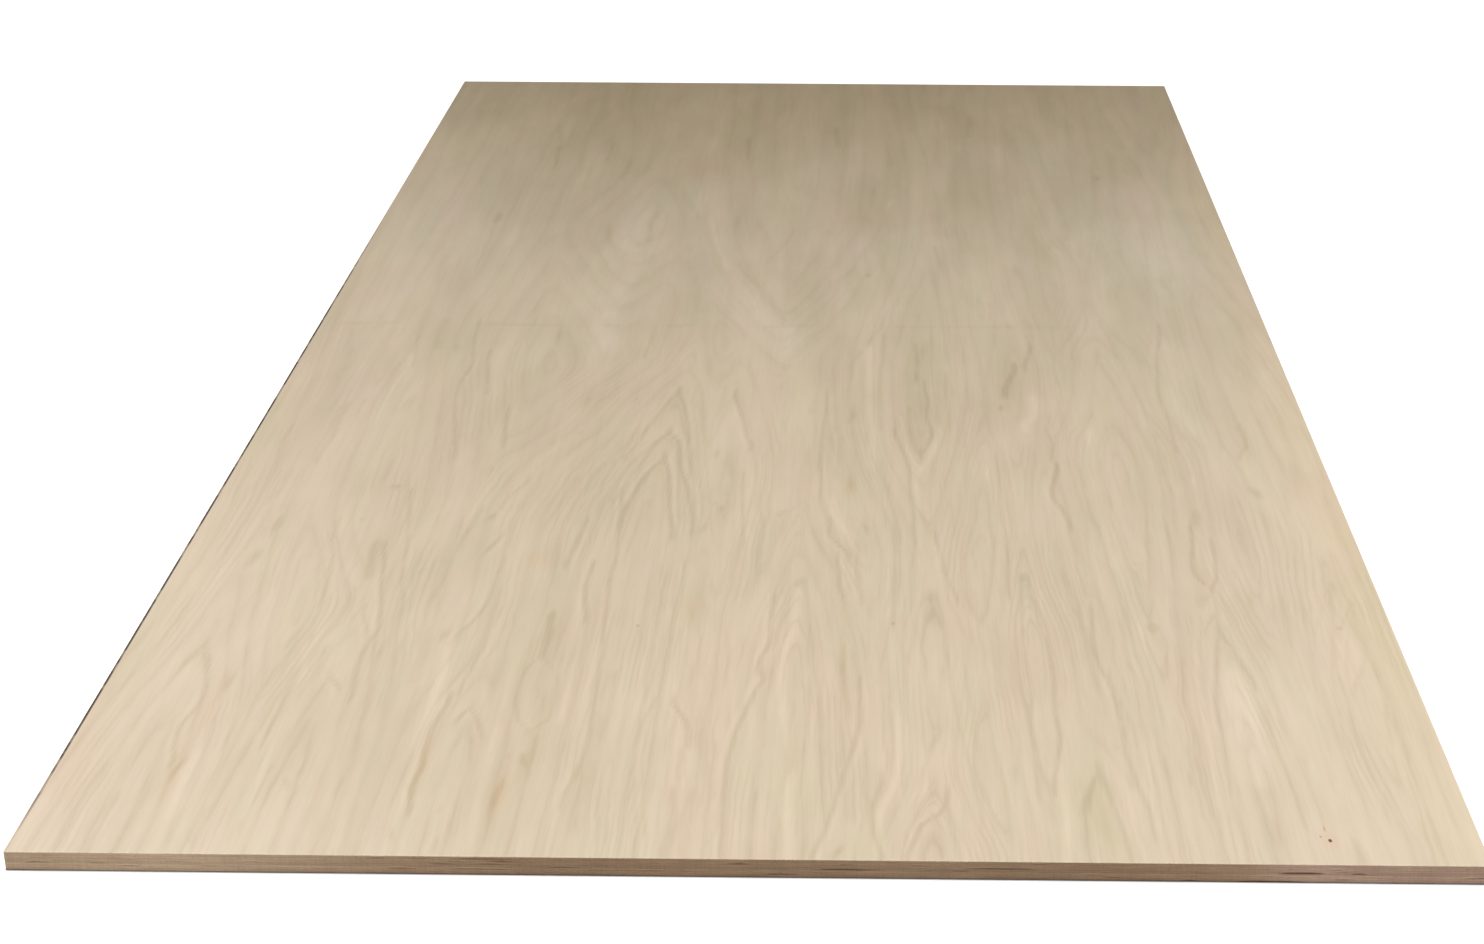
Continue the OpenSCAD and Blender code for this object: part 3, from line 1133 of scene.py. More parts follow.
@dataclass(frozen=True)
class VeneerFinish:
    """Sanded rotary-cut veneer whose figure follows the mesh's attributes."""

    name: str
    span: Span
    """Box of the veneer."""
    wood: RGB
    line_tint: RGB
    """Tint of the darkest late wood."""
    ring_strength: float
    """Strength of the quiet rings between the drawn lines."""
    painted_side_light: RGB = (1.0, 1.0, 1.0)
    # Tint of painted light that makes the wood lighter towards both long sides.
    """Tint of the wood towards both long sides."""
    far_calm: float = 1.0
    """Share of the rings' strength that is left at the far end."""
    side_shade_tint: RGB = (1.0, 1.0, 1.0)
    # Tint of painted shade on the veneer's thin sides, a contact shadow along the foot of the sheet.
    """Tint of the veneer's thin sides."""
    joint: "float | None" = None
    """Place along Y of the joint that shows through, in metres."""
    left_shadow_span: "tuple[float, float] | None" = None
    # Range along Y of the painted shadow along the left side, in metres.
    """Range along Y where the left arris is rubbed dark, in metres."""
    flecks: tuple[Fleck, ...] = ()
    seed: float = 0.0
    BRIGHT_TINT: ClassVar[RGB] = (1.075, 1.075, 1.08)
    """Tint of the pale early wood."""
    SEAM_TINT: ClassVar[RGB] = (0.970, 0.963, 0.953)
    MOTTLE_TINT: ClassVar[RGB] = (0.974, 0.970, 0.962)
    """Tint of the mottle and of the finest fibres."""
    # Painted shadow: near black, for the strip along the left side.
    LEFT_SHADOW_TINT: ClassVar[RGB] = (0.14, 0.13, 0.13)
    PATCH_TINTS: ClassVar[tuple[tuple[Attribute, RGB], ...]] = (
        (Attribute.PALE, (1.05, 1.065, 1.105)),
        (Attribute.OLIVE, (0.915, 0.92, 0.86)),
        (Attribute.RUST, (0.96, 0.885, 0.80)),
    )
    WARM_TINT: ClassVar[RGB] = (1.05, 1.0, 0.90)
    GRAIN_DEPTH: ClassVar[float] = 0.06 * MM
    """Depth of the raised grain and of the sinking at the joint."""

    def material(self) -> bpy.types.Material:
        """Builds the material.

        Returns:
            The material.
        """
        nodes = Nodes(self.name)
        phase = self.phase(nodes)
        drawn = nodes.math("MULTIPLY", self.drawn(nodes, Attribute.DARK), 0.92)
        late = nodes.math("MAXIMUM", self.quiet_rings(nodes, phase), drawn)
        fibre = nodes.noise((0.9, 55, 3), 3, 0.6, self.seed + 3)
        colour = self.ground(nodes, phase)
        colour = nodes.tinted(colour, late, self.line_tint)
        colour = nodes.tinted(colour, self.drawn(nodes, Attribute.BRIGHT), self.BRIGHT_TINT)
        colour = self.fibres(nodes, colour, fibre)
        colour = self.patches(nodes, colour)
        for fleck in self.flecks:
            colour = self.spotted(nodes, colour, fleck)
        relief = nodes.math("ADD", nodes.math("MULTIPLY", late, -0.35), nodes.math("MULTIPLY", fibre, 0.65))
        if self.joint is not None:
            seam = self.seam(nodes)
            colour = nodes.tinted(colour, seam, self.SEAM_TINT)
            relief = nodes.math("SUBTRACT", relief, seam)
        # Painted highlight round the arris, painted shade on the thin sides and painted shadow along the
        # left side.
        colour = self.paint_arris_light_and_shade(nodes, colour)
        nodes.feed(nodes.shader.inputs["Base Color"], colour)
        rough = nodes.remap(nodes.noise((60, 190, 20), 3, 0.5, self.seed + 9), 0.3, 0.7, 0.54, 0.64)
        nodes.feed(nodes.shader.inputs["Roughness"], nodes.math("MULTIPLY_ADD", late, -0.05, rough))
        nodes.feed(nodes.shader.inputs["Specular IOR Level"], 0.3)
        nodes.feed(nodes.shader.inputs["Normal"], nodes.bump(relief, self.GRAIN_DEPTH))
        return nodes.material

    def phase(self, nodes: Nodes) -> Socket:
        """Ring count with the small wander of real growth.

        Args:
            nodes: The material's builder.

        Returns:
            The count.
        """
        total = nodes.attribute(Attribute.RINGS)
        wanders = (((80, 330, 50), 2, 0.9), ((24, 90, 30), 2, 0.34), ((7, 30, 9), 2, 0.16))
        for i, (cell, detail, rings) in enumerate(wanders):
            wander = nodes.noise(cell, detail, 0.5, self.seed + 20 + 7 * i)
            total = nodes.math("MULTIPLY_ADD", wander, rings, total)
        return total

    def quiet_rings(self, nodes: Nodes, phase: Socket) -> Socket:
        """Late wood of each ring, strong in some rings and lost in others.

        Args:
            nodes: The material's builder.
            phase: Ring count.

        Returns:
            Strength of the line from 0 to 1.
        """
        own = nodes.add("ShaderNodeTexWhiteNoise", noise_dimensions="1D")
        nodes.feed(own.inputs["W"], nodes.math("FLOOR", phase))
        own_strength = nodes.remap(own.outputs["Value"], 0.0, 1.0, 0.3, 1.0, smooth=False)
        line = nodes.curve(nodes.math("FRACT", phase),
                           ((0.0, 0.0), (0.24, 0.10), (0.42, 0.45), (0.53, 1.0), (0.64, 0.35), (0.84, 0.0)))
        along = nodes.remap(nodes.noise((34, 150, 30), 3, 0.6, self.seed + 41), 0.38, 0.62, 0.15, 1.0)
        main = nodes.product(line, own_strength, along)
        triple = nodes.math("MULTIPLY_ADD", phase, 3.0, 0.37)
        fine = nodes.curve(nodes.math("FRACT", triple),
                           ((0.0, 0.0), (0.30, 0.2), (0.55, 1.0), (0.76, 0.15), (1.0, 0.0)))
        fine_along = nodes.remap(nodes.noise((45, 210, 30), 2, 0.5, self.seed + 47), 0.40, 0.62, 0.0, 0.75)
        both = nodes.math("MAXIMUM", main, nodes.product(fine, fine_along))
        calm = nodes.remap(self.far(nodes), 0.0, 1.0, 1.0, self.far_calm, smooth=False)
        return nodes.product(both, calm, self.ring_strength)

    def far(self, nodes: Nodes) -> Socket:
        """0 over the near part of the veneer, rising to 1 over the far part."""
        low, length = self.span.low.y, self.span.size.y
        return nodes.remap(nodes.axis("Y"), low + 0.12 * length, low + 0.62 * length)

    def drawn(self, nodes: Nodes, which: Attribute) -> Socket:
        """Lines that the mesh carries, with ragged edges and weak stretches.

        Args:
            nodes: The material's builder.
            which: Attribute that holds the lines.

        Returns:
            Strength of the lines from 0 to 1.
        """
        rough = nodes.noise((4, 40, 8), 4, 0.6, self.seed + 51)
        ragged = nodes.remap(rough, 0.30, 0.66, 0.6, 1.2, smooth=False)
        amount = nodes.math("MULTIPLY", nodes.attribute(which), ragged)
        return nodes.remap(amount, 0.04, 1.0)

    def ground(self, nodes: Nodes, phase: Socket) -> Socket:
        """Colour of the wood between the lines, with its slow changes of tone.

        Args:
            nodes: The material's builder.
            phase: Ring count.

        Returns:
            The colour.
        """
        pink = tuple(part * gain for part, gain in zip(self.wood, (1.012, 0.990, 0.997)))
        green = tuple(part * gain for part, gain in zip(self.wood, (0.985, 1.0, 0.970)))
        hue = nodes.remap(nodes.noise((46, 260, 40), 3, 0.55, self.seed + 60), 0.36, 0.64)
        colour = nodes.between(hue, pink, green)
        tone = nodes.remap(nodes.noise((130, 480, 60), 3, 0.5, self.seed + 66), 0.34, 0.66)
        colour = nodes.tinted(colour, tone, (0.960, 0.955, 0.945))
        mottle = nodes.remap(nodes.noise((42, 140, 60), 3, 0.55, self.seed + 69), 0.62, 0.38)
        colour = nodes.tinted(colour, mottle, self.MOTTLE_TINT)
        far = self.far(nodes)
        bands = nodes.remap(nodes.noise((66, 460, 60), 2, 0.5, self.seed + 63), 0.60, 0.40)
        colour = nodes.tinted(colour, far, (1.035, 1.035, 1.020))
        colour = nodes.tinted(colour, nodes.math("MULTIPLY", bands, far), (0.935, 0.942, 0.930))
        # Painted light: the face grows lighter towards both long sides.
        painted_side_light = nodes.remap(nodes.math("ABSOLUTE", nodes.axis("X")), 0.24, 0.64)
        colour = nodes.tinted(colour, painted_side_light, self.painted_side_light)
        growth = nodes.curve(nodes.math("FRACT", phase),
                             ((0.0, 0.1), (0.5, 1.0), (0.56, 0.5), (0.7, 0.05), (1.0, 0.1)))
        return nodes.tinted(colour, nodes.product(growth, 0.7), (0.955, 0.95, 0.94))

    def fibres(self, nodes: Nodes, colour: Socket, fibre: Socket) -> Socket:
        """Adds fine fibre streaks and short dark pores.

        Args:
            nodes: The material's builder.
            colour: Colour so far.
            fibre: Noise of the finest streaks.

        Returns:
            The colour with them.
        """
        calm = nodes.remap(self.far(nodes), 0.0, 1.0, 1.0, 0.5 + 0.5 * self.far_calm, smooth=False)
        fine = nodes.math("MULTIPLY", nodes.remap(fibre, 0.62, 0.36), calm)
        colour = nodes.tinted(colour, fine, self.MOTTLE_TINT)
        streak = nodes.remap(nodes.noise((5, 190, 9), 3, 0.6, self.seed + 71), 0.60, 0.38)
        colour = nodes.tinted(colour, nodes.math("MULTIPLY", streak, calm), (0.978, 0.975, 0.968))
        pore = nodes.noise((0.8, 7.0, 2.0), 1, 0.5, self.seed + 77)
        return nodes.tinted(colour, nodes.remap(pore, 0.70, 0.80), (0.90, 0.88, 0.84))

    def patches(self, nodes: Nodes, colour: Socket) -> Socket:
        """Adds the patches of other tones that the mesh carries.

        Args:
            nodes: The material's builder.
            colour: Colour so far.

        Returns:
            The colour with them.
        """
        ragged = nodes.remap(nodes.noise((14, 70, 12), 3, 0.6, self.seed + 83), 0.3, 0.6, 0.4, 1.1)
        for attribute, tint in self.PATCH_TINTS:
            amount = nodes.math("MULTIPLY", nodes.attribute(attribute), ragged)
            colour = nodes.tinted(colour, amount, tint)
        return nodes.tinted(colour, nodes.attribute(Attribute.WARM), self.WARM_TINT)

    def spotted(self, nodes: Nodes, colour: Socket, fleck: Fleck) -> Socket:
        """Adds one fleck.

        Args:
            nodes: The material's builder.
            colour: Colour so far.
            fleck: The fleck.

        Returns:
            The colour with it.
        """
        corner = self.span.low
        centre = Vector((corner.x + fleck.across * MM, corner.y + fleck.along * MM, 0))
        reaches = [(fleck.half_width, fleck.half_length, fleck.tint)]
        if fleck.halo:
            reaches.insert(0, (fleck.halo, 1.5 * fleck.halo, fleck.halo_tint))
        for half_width, half_length, tint in reaches:
            scale = (1 / (half_width * MM), 1 / (half_length * MM), 0.0)
            mapping = nodes.add("ShaderNodeMapping")
            nodes.feed(mapping.inputs["Vector"], nodes.place)
            nodes.feed(mapping.inputs["Scale"], scale)
            nodes.feed(mapping.inputs["Location"], tuple(-c * s for c, s in zip(centre, scale)))
            length = nodes.add("ShaderNodeVectorMath", operation="LENGTH")
            nodes.feed(length.inputs[0], mapping.outputs["Vector"])
            colour = nodes.tinted(colour, nodes.remap(length.outputs["Value"], 1.0, 0.4), tint)
        return colour

    def seam(self, nodes: Nodes) -> Socket:
        """Broken line where the joint in the ply below shows through.

        Args:
            nodes: The material's builder.

        Returns:
            Strength of the line from 0 to 1.
        """
        wander = nodes.remap(nodes.noise((160, 9000, 50), 2, 0.5, self.seed + 90), 0.3, 0.7, -0.003, 0.003)
        past = nodes.math("SUBTRACT", nodes.axis("Y"), self.joint)
        off = nodes.math("ABSOLUTE", nodes.math("ADD", past, wander))
        line = nodes.remap(off, 0.010, 0.001)
        dashes = nodes.remap(nodes.noise((44, 9000, 50), 2, 0.6, self.seed + 95), 0.46, 0.58, 0.05, 1.0)
        fade = nodes.remap(nodes.axis("X"), self.span.low.x + 0.86, self.span.low.x + 1.05, 1.0, 0.2)
        return nodes.product(line, dashes, fade)

    def paint_arris_light_and_shade(self, nodes: Nodes, colour: Socket) -> Socket:
        """Adds the painted highlight round the face's arris, the painted shade on the thin sides and the
        painted shadow along the left side.

        Args:
            nodes: The material's builder.
            colour: Colour so far.

        Returns:
            The colour with them.
        """
        low, high = self.span.low, self.span.high
        # Painted highlight: a pale strip 2 mm wide round the face's outline, where the arris catches the
        # light.
        colour = nodes.tinted(colour, nodes.outline(high, 2.0 * MM), (1.06, 1.055, 1.04))
        # Painted shade: the thin sides take the side shade tint, a contact shadow on the back veneer.
        colour = nodes.tinted(colour, nodes.outline(high, 0.4 * MM), self.side_shade_tint)
        if self.left_shadow_span is None:
            return colour
        # Painted shadow: a dark broken strip just inside the left side.
        strip = nodes.remap(nodes.axis("X"), low.x + 3.2 * MM, low.x + 2.0 * MM)
        start = nodes.remap(nodes.axis("Y"), self.left_shadow_span[0], self.left_shadow_span[0] + 0.20)
        end = nodes.remap(nodes.axis("Y"), self.left_shadow_span[1], self.left_shadow_span[1] - 0.5)
        broken = nodes.remap(nodes.noise((30, 30, 30), 2, 0.5, self.seed + 99), 0.36, 0.5, 0.6, 1.0)
        return nodes.tinted(colour, nodes.product(start, end, strip, broken), self.LEFT_SHADOW_TINT)


@dataclass(frozen=True)
class EdgeFinish:
    """Sawn side of a ply: long fibres where the grain runs along the side, pores where it ends there."""

    name: str
    grain: Grain
    wood: RGB
    span: Span
    """Box of the ply."""
    sheet: Span
    """Box of the whole sheet."""
    seed: float
    GRAIN_TINT: ClassVar[RGB] = (0.80, 0.77, 0.74)
    """Tint of the dark fibres and pores."""
    # Painted light: the sawn sides grow paler and bluer towards the left and right of the sheet.
    LEFT_LIGHT_TINT: ClassVar[RGB] = (1.60, 1.75, 1.92)
    RIGHT_LIGHT_TINT: ClassVar[RGB] = (1.38, 1.43, 1.70)
    GLUE_TINT: ClassVar[RGB] = (0.80, 0.78, 0.76)
    # Painted shadow: bluish darkening at the foot of the sides, where the sheet meets the floor.
    CONTACT_SHADOW_TINT: ClassVar[RGB] = (0.68, 0.72, 0.82)
    # Painted shade: the tint inside gaps and tear-outs.
    GAP_SHADE_TINT: ClassVar[RGB] = (0.48, 0.37, 0.30)
    SAWN_DEPTH: ClassVar[float] = 0.22 * MM
    """Depth of the finest relief, which is bump only."""

    def material(self) -> bpy.types.Material:
        """Builds the material.

        Returns:
            The material.
        """
        nodes = Nodes(self.name)
        ends = self.end_side(nodes)
        cell = (1.1, 46, 0.3) if self.grain is Grain.ALONG else (46, 1.1, 0.3)
        fibre = nodes.noise(cell, 4, 0.62, self.seed)
        pores = nodes.noise((0.55, 0.55, 0.4), 3, 0.7, self.seed + 8)
        bands = nodes.noise((3.4, 3.4, 0.7), 2, 0.5, self.seed + 12)
        long_side = nodes.tinted(self.wood, nodes.remap(fibre, 0.62, 0.36), self.GRAIN_TINT)
        end_side = nodes.tinted(self.wood, nodes.remap(pores, 0.58, 0.36), self.GRAIN_TINT)
        end_side = nodes.tinted(end_side, nodes.remap(bands, 0.60, 0.40), (0.92, 0.905, 0.88))
        # Tone changes, plus painted light towards the left and right, a painted contact shadow at the foot
        # and painted shade in the gaps.
        colour = self.tone_and_painted_light(nodes, nodes.between(ends, long_side, end_side))
        nodes.feed(nodes.shader.inputs["Base Color"], colour)
        nodes.feed(nodes.shader.inputs["Roughness"], nodes.remap(pores, 0.3, 0.7, 0.72, 0.88))
        nodes.feed(nodes.shader.inputs["Specular IOR Level"], 0.25)
        relief = nodes.between(ends, fibre, pores)
        nodes.feed(nodes.shader.inputs["Normal"], nodes.bump(relief, self.SAWN_DEPTH))
        return nodes.material

    def end_side(self, nodes: Nodes) -> Socket:
        """1 on the sides where this ply shows end grain, 0 on the others.

        Args:
            nodes: The material's builder.

        Returns:
            The mask.
        """
        reach = self.sheet.high.y
        short_side = nodes.remap(nodes.math("ABSOLUTE", nodes.axis("Y")), reach - 0.003, reach - 0.0025)
        return short_side if self.grain is Grain.ALONG else nodes.math("SUBTRACT", 1.0, short_side)

    def tone_and_painted_light(self, nodes: Nodes, colour: Socket) -> Socket:
        """Adds changes of tone along the side, saw marks and glue lines, with painted light towards the left
        and right of the sheet, a painted contact shadow at the foot and painted shade in the gaps.

        Args:
            nodes: The material's builder.
            colour: Colour so far.

        Returns:
            The colour with them.
        """
        low, high = self.sheet.low, self.sheet.high
        slow = nodes.noise((170, 170, 60), 3, 0.55, 300.0)
        colour = nodes.tinted(colour, nodes.remap(slow, 0.62, 0.38), (0.88, 0.86, 0.84))
        smudge = nodes.noise((38, 38, 5), 3, 0.6, 310.0)
        colour = nodes.tinted(colour, nodes.remap(smudge, 0.60, 0.36), (0.92, 0.905, 0.89))
        # Painted light: paler towards the left and right of the sheet, on every side of every ply.
        left = nodes.remap(nodes.axis("X"), low.x + 0.40, low.x + 0.10)
        colour = nodes.tinted(colour, left, self.LEFT_LIGHT_TINT)
        right = nodes.remap(nodes.axis("X"), high.x - 0.22, high.x - 0.14)
        colour = nodes.tinted(colour, right, self.RIGHT_LIGHT_TINT)
        saw = nodes.noise((1.5, 1.5, 30), 2, 0.5, 320.0)
        colour = nodes.tinted(colour, nodes.remap(saw, 0.58, 0.40), (0.95, 0.945, 0.94))
        middle, half = self.span.middle.z, self.span.size.z / 2
        off = nodes.math("ABSOLUTE", nodes.math("SUBTRACT", nodes.axis("Z"), middle))
        glue = nodes.remap(off, half - 0.25 * MM, half - 0.04 * MM)
        colour = nodes.tinted(colour, glue, self.GLUE_TINT)
        # Painted contact shadow, darker towards the bottom of the sheet.
        contact_shadow = nodes.remap(nodes.axis("Z"), 2.4 * MM, 0.6 * MM)
        colour = nodes.tinted(colour, contact_shadow, self.CONTACT_SHADOW_TINT)
        # Painted shade: darker the deeper a point lies in a gap or tear-out.
        gaps = nodes.remap(nodes.attribute(Attribute.RECESS), 0.35, 1.1)
        return nodes.tinted(colour, gaps, self.GAP_SHADE_TINT)


@dataclass(frozen=True)
class FloorFinish:
    """Plain floor that is white mostly by its own glow, so that it stays white away from the lamp."""

    albedo: float = 0.60
    glow: float = 0.92
    contact_shadow_reach: float = 4 * MM
    # Reach of the painted contact shadow, where the floor's glow dims near anything that stands on it.
    """Reach of the dark line where something stands on the floor."""

    def material(self) -> bpy.types.Material:
        """Builds the material.

        Returns:
            The material.
        """
        nodes = Nodes("studio_floor")
        shade = (self.albedo, self.albedo, self.albedo, 1.0)
        nodes.feed(nodes.shader.inputs["Base Color"], shade)
        nodes.feed(nodes.shader.inputs["Roughness"], 0.9)
        nodes.feed(nodes.shader.inputs["Specular IOR Level"], 0.0)
        nodes.feed(nodes.shader.inputs["Emission Color"], (1.0, 1.0, 1.0, 1.0))
        # Painted shadow: ambient occlusion dims the floor's glow where the sheet stands on it.
        occlusion_shade = nodes.add("ShaderNodeAmbientOcclusion", samples=8)
        nodes.feed(occlusion_shade.inputs["Distance"], self.contact_shadow_reach)
        glow = nodes.product(occlusion_shade.outputs["AO"], self.glow)
        nodes.feed(nodes.shader.inputs["Emission Strength"], glow)
        return nodes.material


# --- Meshes ----------------------------------------------------------------------------------


def add_piece(name: str, mesh: bmesh.types.BMesh, material: bpy.types.Material) -> bpy.types.Object:
    """Turns a finished bmesh into an object at the origin.

    Args:
        name: Name of the piece.
        mesh: Its shape in the frame. It is freed here.
        material: Its finish.

    Returns:
        The object.
    """
    bmesh.ops.recalc_face_normals(mesh, faces=mesh.faces)
    data = bpy.data.meshes.new(name)
    mesh.to_mesh(data)
    mesh.free()
    data.materials.append(material)
    piece = bpy.data.objects.new(name, data)
    bpy.context.scene.collection.objects.link(piece)
    return piece


def write_layer(data: bpy.types.Mesh, attribute: Attribute, values: Sequence[float]) -> None:
    """Stores one value for each point of a mesh."""
    layer = data.attributes.new(attribute.value, "FLOAT", "POINT")
    layer.data.foreach_set("value", np.asarray(values, dtype=np.float32))


def rectangle(span: Span, z: float) -> bmesh.types.BMesh:
    """A single face over a box's width and length.

    Args:
        span: The box.
        z: Height of the face.

    Returns:
        A mesh that holds the face.
    """
    mesh = bmesh.new()
    bmesh.ops.create_grid(mesh, x_segments=1, y_segments=1, size=0.5)
    bmesh.ops.scale(mesh, vec=(span.size.x, span.size.y, 1.0), verts=mesh.verts)
    bmesh.ops.translate(mesh, vec=(span.middle.x, span.middle.y, z), verts=mesh.verts)
    return mesh


def pull(mesh: bmesh.types.BMesh, edges: Sequence[bmesh.types.BMEdge],
         drop: float) -> list[bmesh.types.BMEdge]:
    """Extrudes a loop of edges up or down.

    Args:
        mesh: The mesh.
        edges: The loop.
        drop: Distance along Z.

    Returns:
        The loop at the far side of the new faces.
    """
    made = bmesh.ops.extrude_edge_only(mesh, edges=edges)["geom"]
    corners = [part for part in made if isinstance(part, bmesh.types.BMVert)]
    bmesh.ops.translate(mesh, vec=(0.0, 0.0, drop), verts=corners)
    return [part for part in made if isinstance(part, bmesh.types.BMEdge)]


@dataclass(frozen=True)
class Rim:
    """Distance round the sides of a box, from its near left corner, counter-clockwise from above."""

    span: Span

    @property
    def total(self) -> float:
        """Distance all the way round."""
        return 2 * (self.span.size.x + self.span.size.y)

    def side(self, normal: Vector) -> Side:
        """Side that a wall's normal belongs to."""
        if abs(normal.y) > abs(normal.x):
            return Side.NEAR if normal.y < 0 else Side.FAR
        return Side.LEFT if normal.x < 0 else Side.RIGHT

    def distance(self, side: Side, point: Vector) -> float:
        """Distance round to a point.

        Args:
            side: Side that the point is on.
            point: The point.

        Returns:
            The distance, in metres.
        """
        low, high, size = self.span.low, self.span.high, self.span.size
        if side is Side.NEAR:
            return point.x - low.x
        if side is Side.RIGHT:
            return size.x + point.y - low.y
        if side is Side.FAR:
            return size.x + size.y + high.x - point.x
        return 2 * size.x + size.y + high.y - point.y


@dataclass(frozen=True)
class Gap:
    """Thin open gap in a ply's sawn side, such as a split or a missing strip of core."""

    side: Side
    centre: float
    """Distance of its middle from the side's low end, in millimetres."""
    length: float
    depth: float
    level: float = 0.5
    """Height of its middle as a share of the ply."""


@dataclass
class SheetPart:
    """What every leaf of the sheet has: its CAD nodes, its box and its finish."""

    name: str
    nodes: tuple[str, ...]
    slot: str
    span: Span = field(init=False)

    def __post_init__(self) -> None:
        """Reads the box from the frame."""
        self.span = Span.of(*self.nodes)

    def join_frame(self, piece: bpy.types.Object) -> None:
        """Makes a finished piece stand for its CAD nodes.

        Args:
            piece: The piece.
        """
        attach(piece, "root")
        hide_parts(*self.nodes)
        count = sum(len(face.vertices) - 2 for face in piece.data.polygons)
        LOG.info("%s: %d triangles for %s", piece.name, count, ", ".join(self.nodes))


@dataclass
class OuterVeneer(SheetPart):
    """Face or back veneer: a thin leaf with rounded arrises and its figure stored at its points."""

    figure: Figure = field(default_factory=lambda: Figure(()))
    faces_up: bool = True
    cells_across: int = 396
    cells_along: int = 230
    crowding: float = 0.5
    """Spacing of the rows at the near end, as a share of even spacing."""
    arris: float = 0.3 * MM
    wear: float = 0.16 * MM
    """Scale of how deep handling has worn the arris."""
    wear_pitch: float = 38.0
    """Worn places in each metre, roughly."""

    def build(self, finish: VeneerFinish) -> bpy.types.Object:
        """Builds the veneer.

        Args:
            finish: Its finish.

        Returns:
            The piece.
        """
        shown, hidden = self.span.high.z, self.span.low.z
        if not self.faces_up:
            shown, hidden = hidden, shown
        mesh = bmesh.new()
        bmesh.ops.create_grid(mesh, x_segments=self.cells_across, y_segments=self.cells_along, size=0.5)
        for vert in mesh.verts:
            vert.co.y += (1 - self.crowding) * (vert.co.y**2 - 0.25)
        bmesh.ops.scale(mesh, vec=(self.span.size.x, self.span.size.y, 1.0), verts=mesh.verts)
        bmesh.ops.translate(mesh, vec=(self.span.middle.x, self.span.middle.y, shown), verts=mesh.verts)
        border = [edge for edge in mesh.edges if edge.is_boundary]
        under = pull(mesh, border, hidden - shown)
        bmesh.ops.contextual_create(mesh, geom=under)
        bmesh.ops.bevel(mesh, geom=border, offset=self.arris, offset_type="OFFSET", segments=3,
                        profile=0.5, affect="EDGES", material=-1, clamp_overlap=True)
        self.wear_arris(mesh, shown)
        self.lay_out(mesh)
        piece = add_piece(self.name, mesh, finish.material())
        self.store_figure(piece.data)
        self.join_frame(piece)
        return piece

    def wear_arris(self, mesh: bmesh.types.BMesh, shown: float) -> None:
        """Rubs the outer arris back unevenly.

        Args:
            mesh: The veneer.
            shown: Height of its outer face.
        """
        low, high = self.span.low, self.span.high
        reach, corner, bias = 1.2 * self.arris, 2 * self.arris, 0.15
        for vert in mesh.verts:
            near = min(vert.co.x - low.x, high.x - vert.co.x, vert.co.y - low.y, high.y - vert.co.y)
            if near > reach or abs(vert.co.z - shown) > reach:
                continue
            chance = noise.noise(Vector((vert.co.x, vert.co.y, 0)) * self.wear_pitch)
            inward = Vector((math.copysign(1, -vert.co.x) * (abs(vert.co.x) > high.x - corner),
                             math.copysign(1, -vert.co.y) * (abs(vert.co.y) > high.y - corner), 0))
            vert.co += inward * (self.wear * max(0.0, chance + bias))

    def lay_out(self, mesh: bmesh.types.BMesh) -> None:
        """Gives the veneer its bake map: the face over all of it, and the thin sides in its margin.

        Args:
            mesh: The veneer.
        """
        layer = mesh.loops.layers.uv.new(BAKE_MAP)
        margin, low, size = 0.012, self.span.low, self.span.size
        mesh.normal_update()
        for face in mesh.faces:
            level = abs(face.normal.z) > 0.2
            for loop in face.loops:
                place = loop.vert.co - low
                u = margin + (1 - 2 * margin) * place.x / size.x
                v = margin + (1 - 2 * margin) * place.y / size.y
                strip = margin * (0.2 + 0.6 * place.z / size.z)
                if not level and abs(face.normal.y) > abs(face.normal.x):
                    v = strip if face.normal.y < 0 else 1 - strip
                elif not level:
                    u = strip if face.normal.x < 0 else 1 - strip
                loop[layer].uv = (u, v)

    def store_figure(self, data: bpy.types.Mesh) -> None:
        """Stores the rings and patches at the points.

        Args:
            data: The finished mesh.
        """
        points = np.empty(3 * len(data.vertices), dtype=np.float32)
        data.vertices.foreach_get("co", points)
        points = points.reshape(-1, 3).astype(float)
        across = (points[:, 0] - self.span.low.x) / MM
        along = (points[:, 1] - self.span.low.y) / MM
        for attribute, values in self.figure.layers(across, along).items():
            write_layer(data, attribute, values)


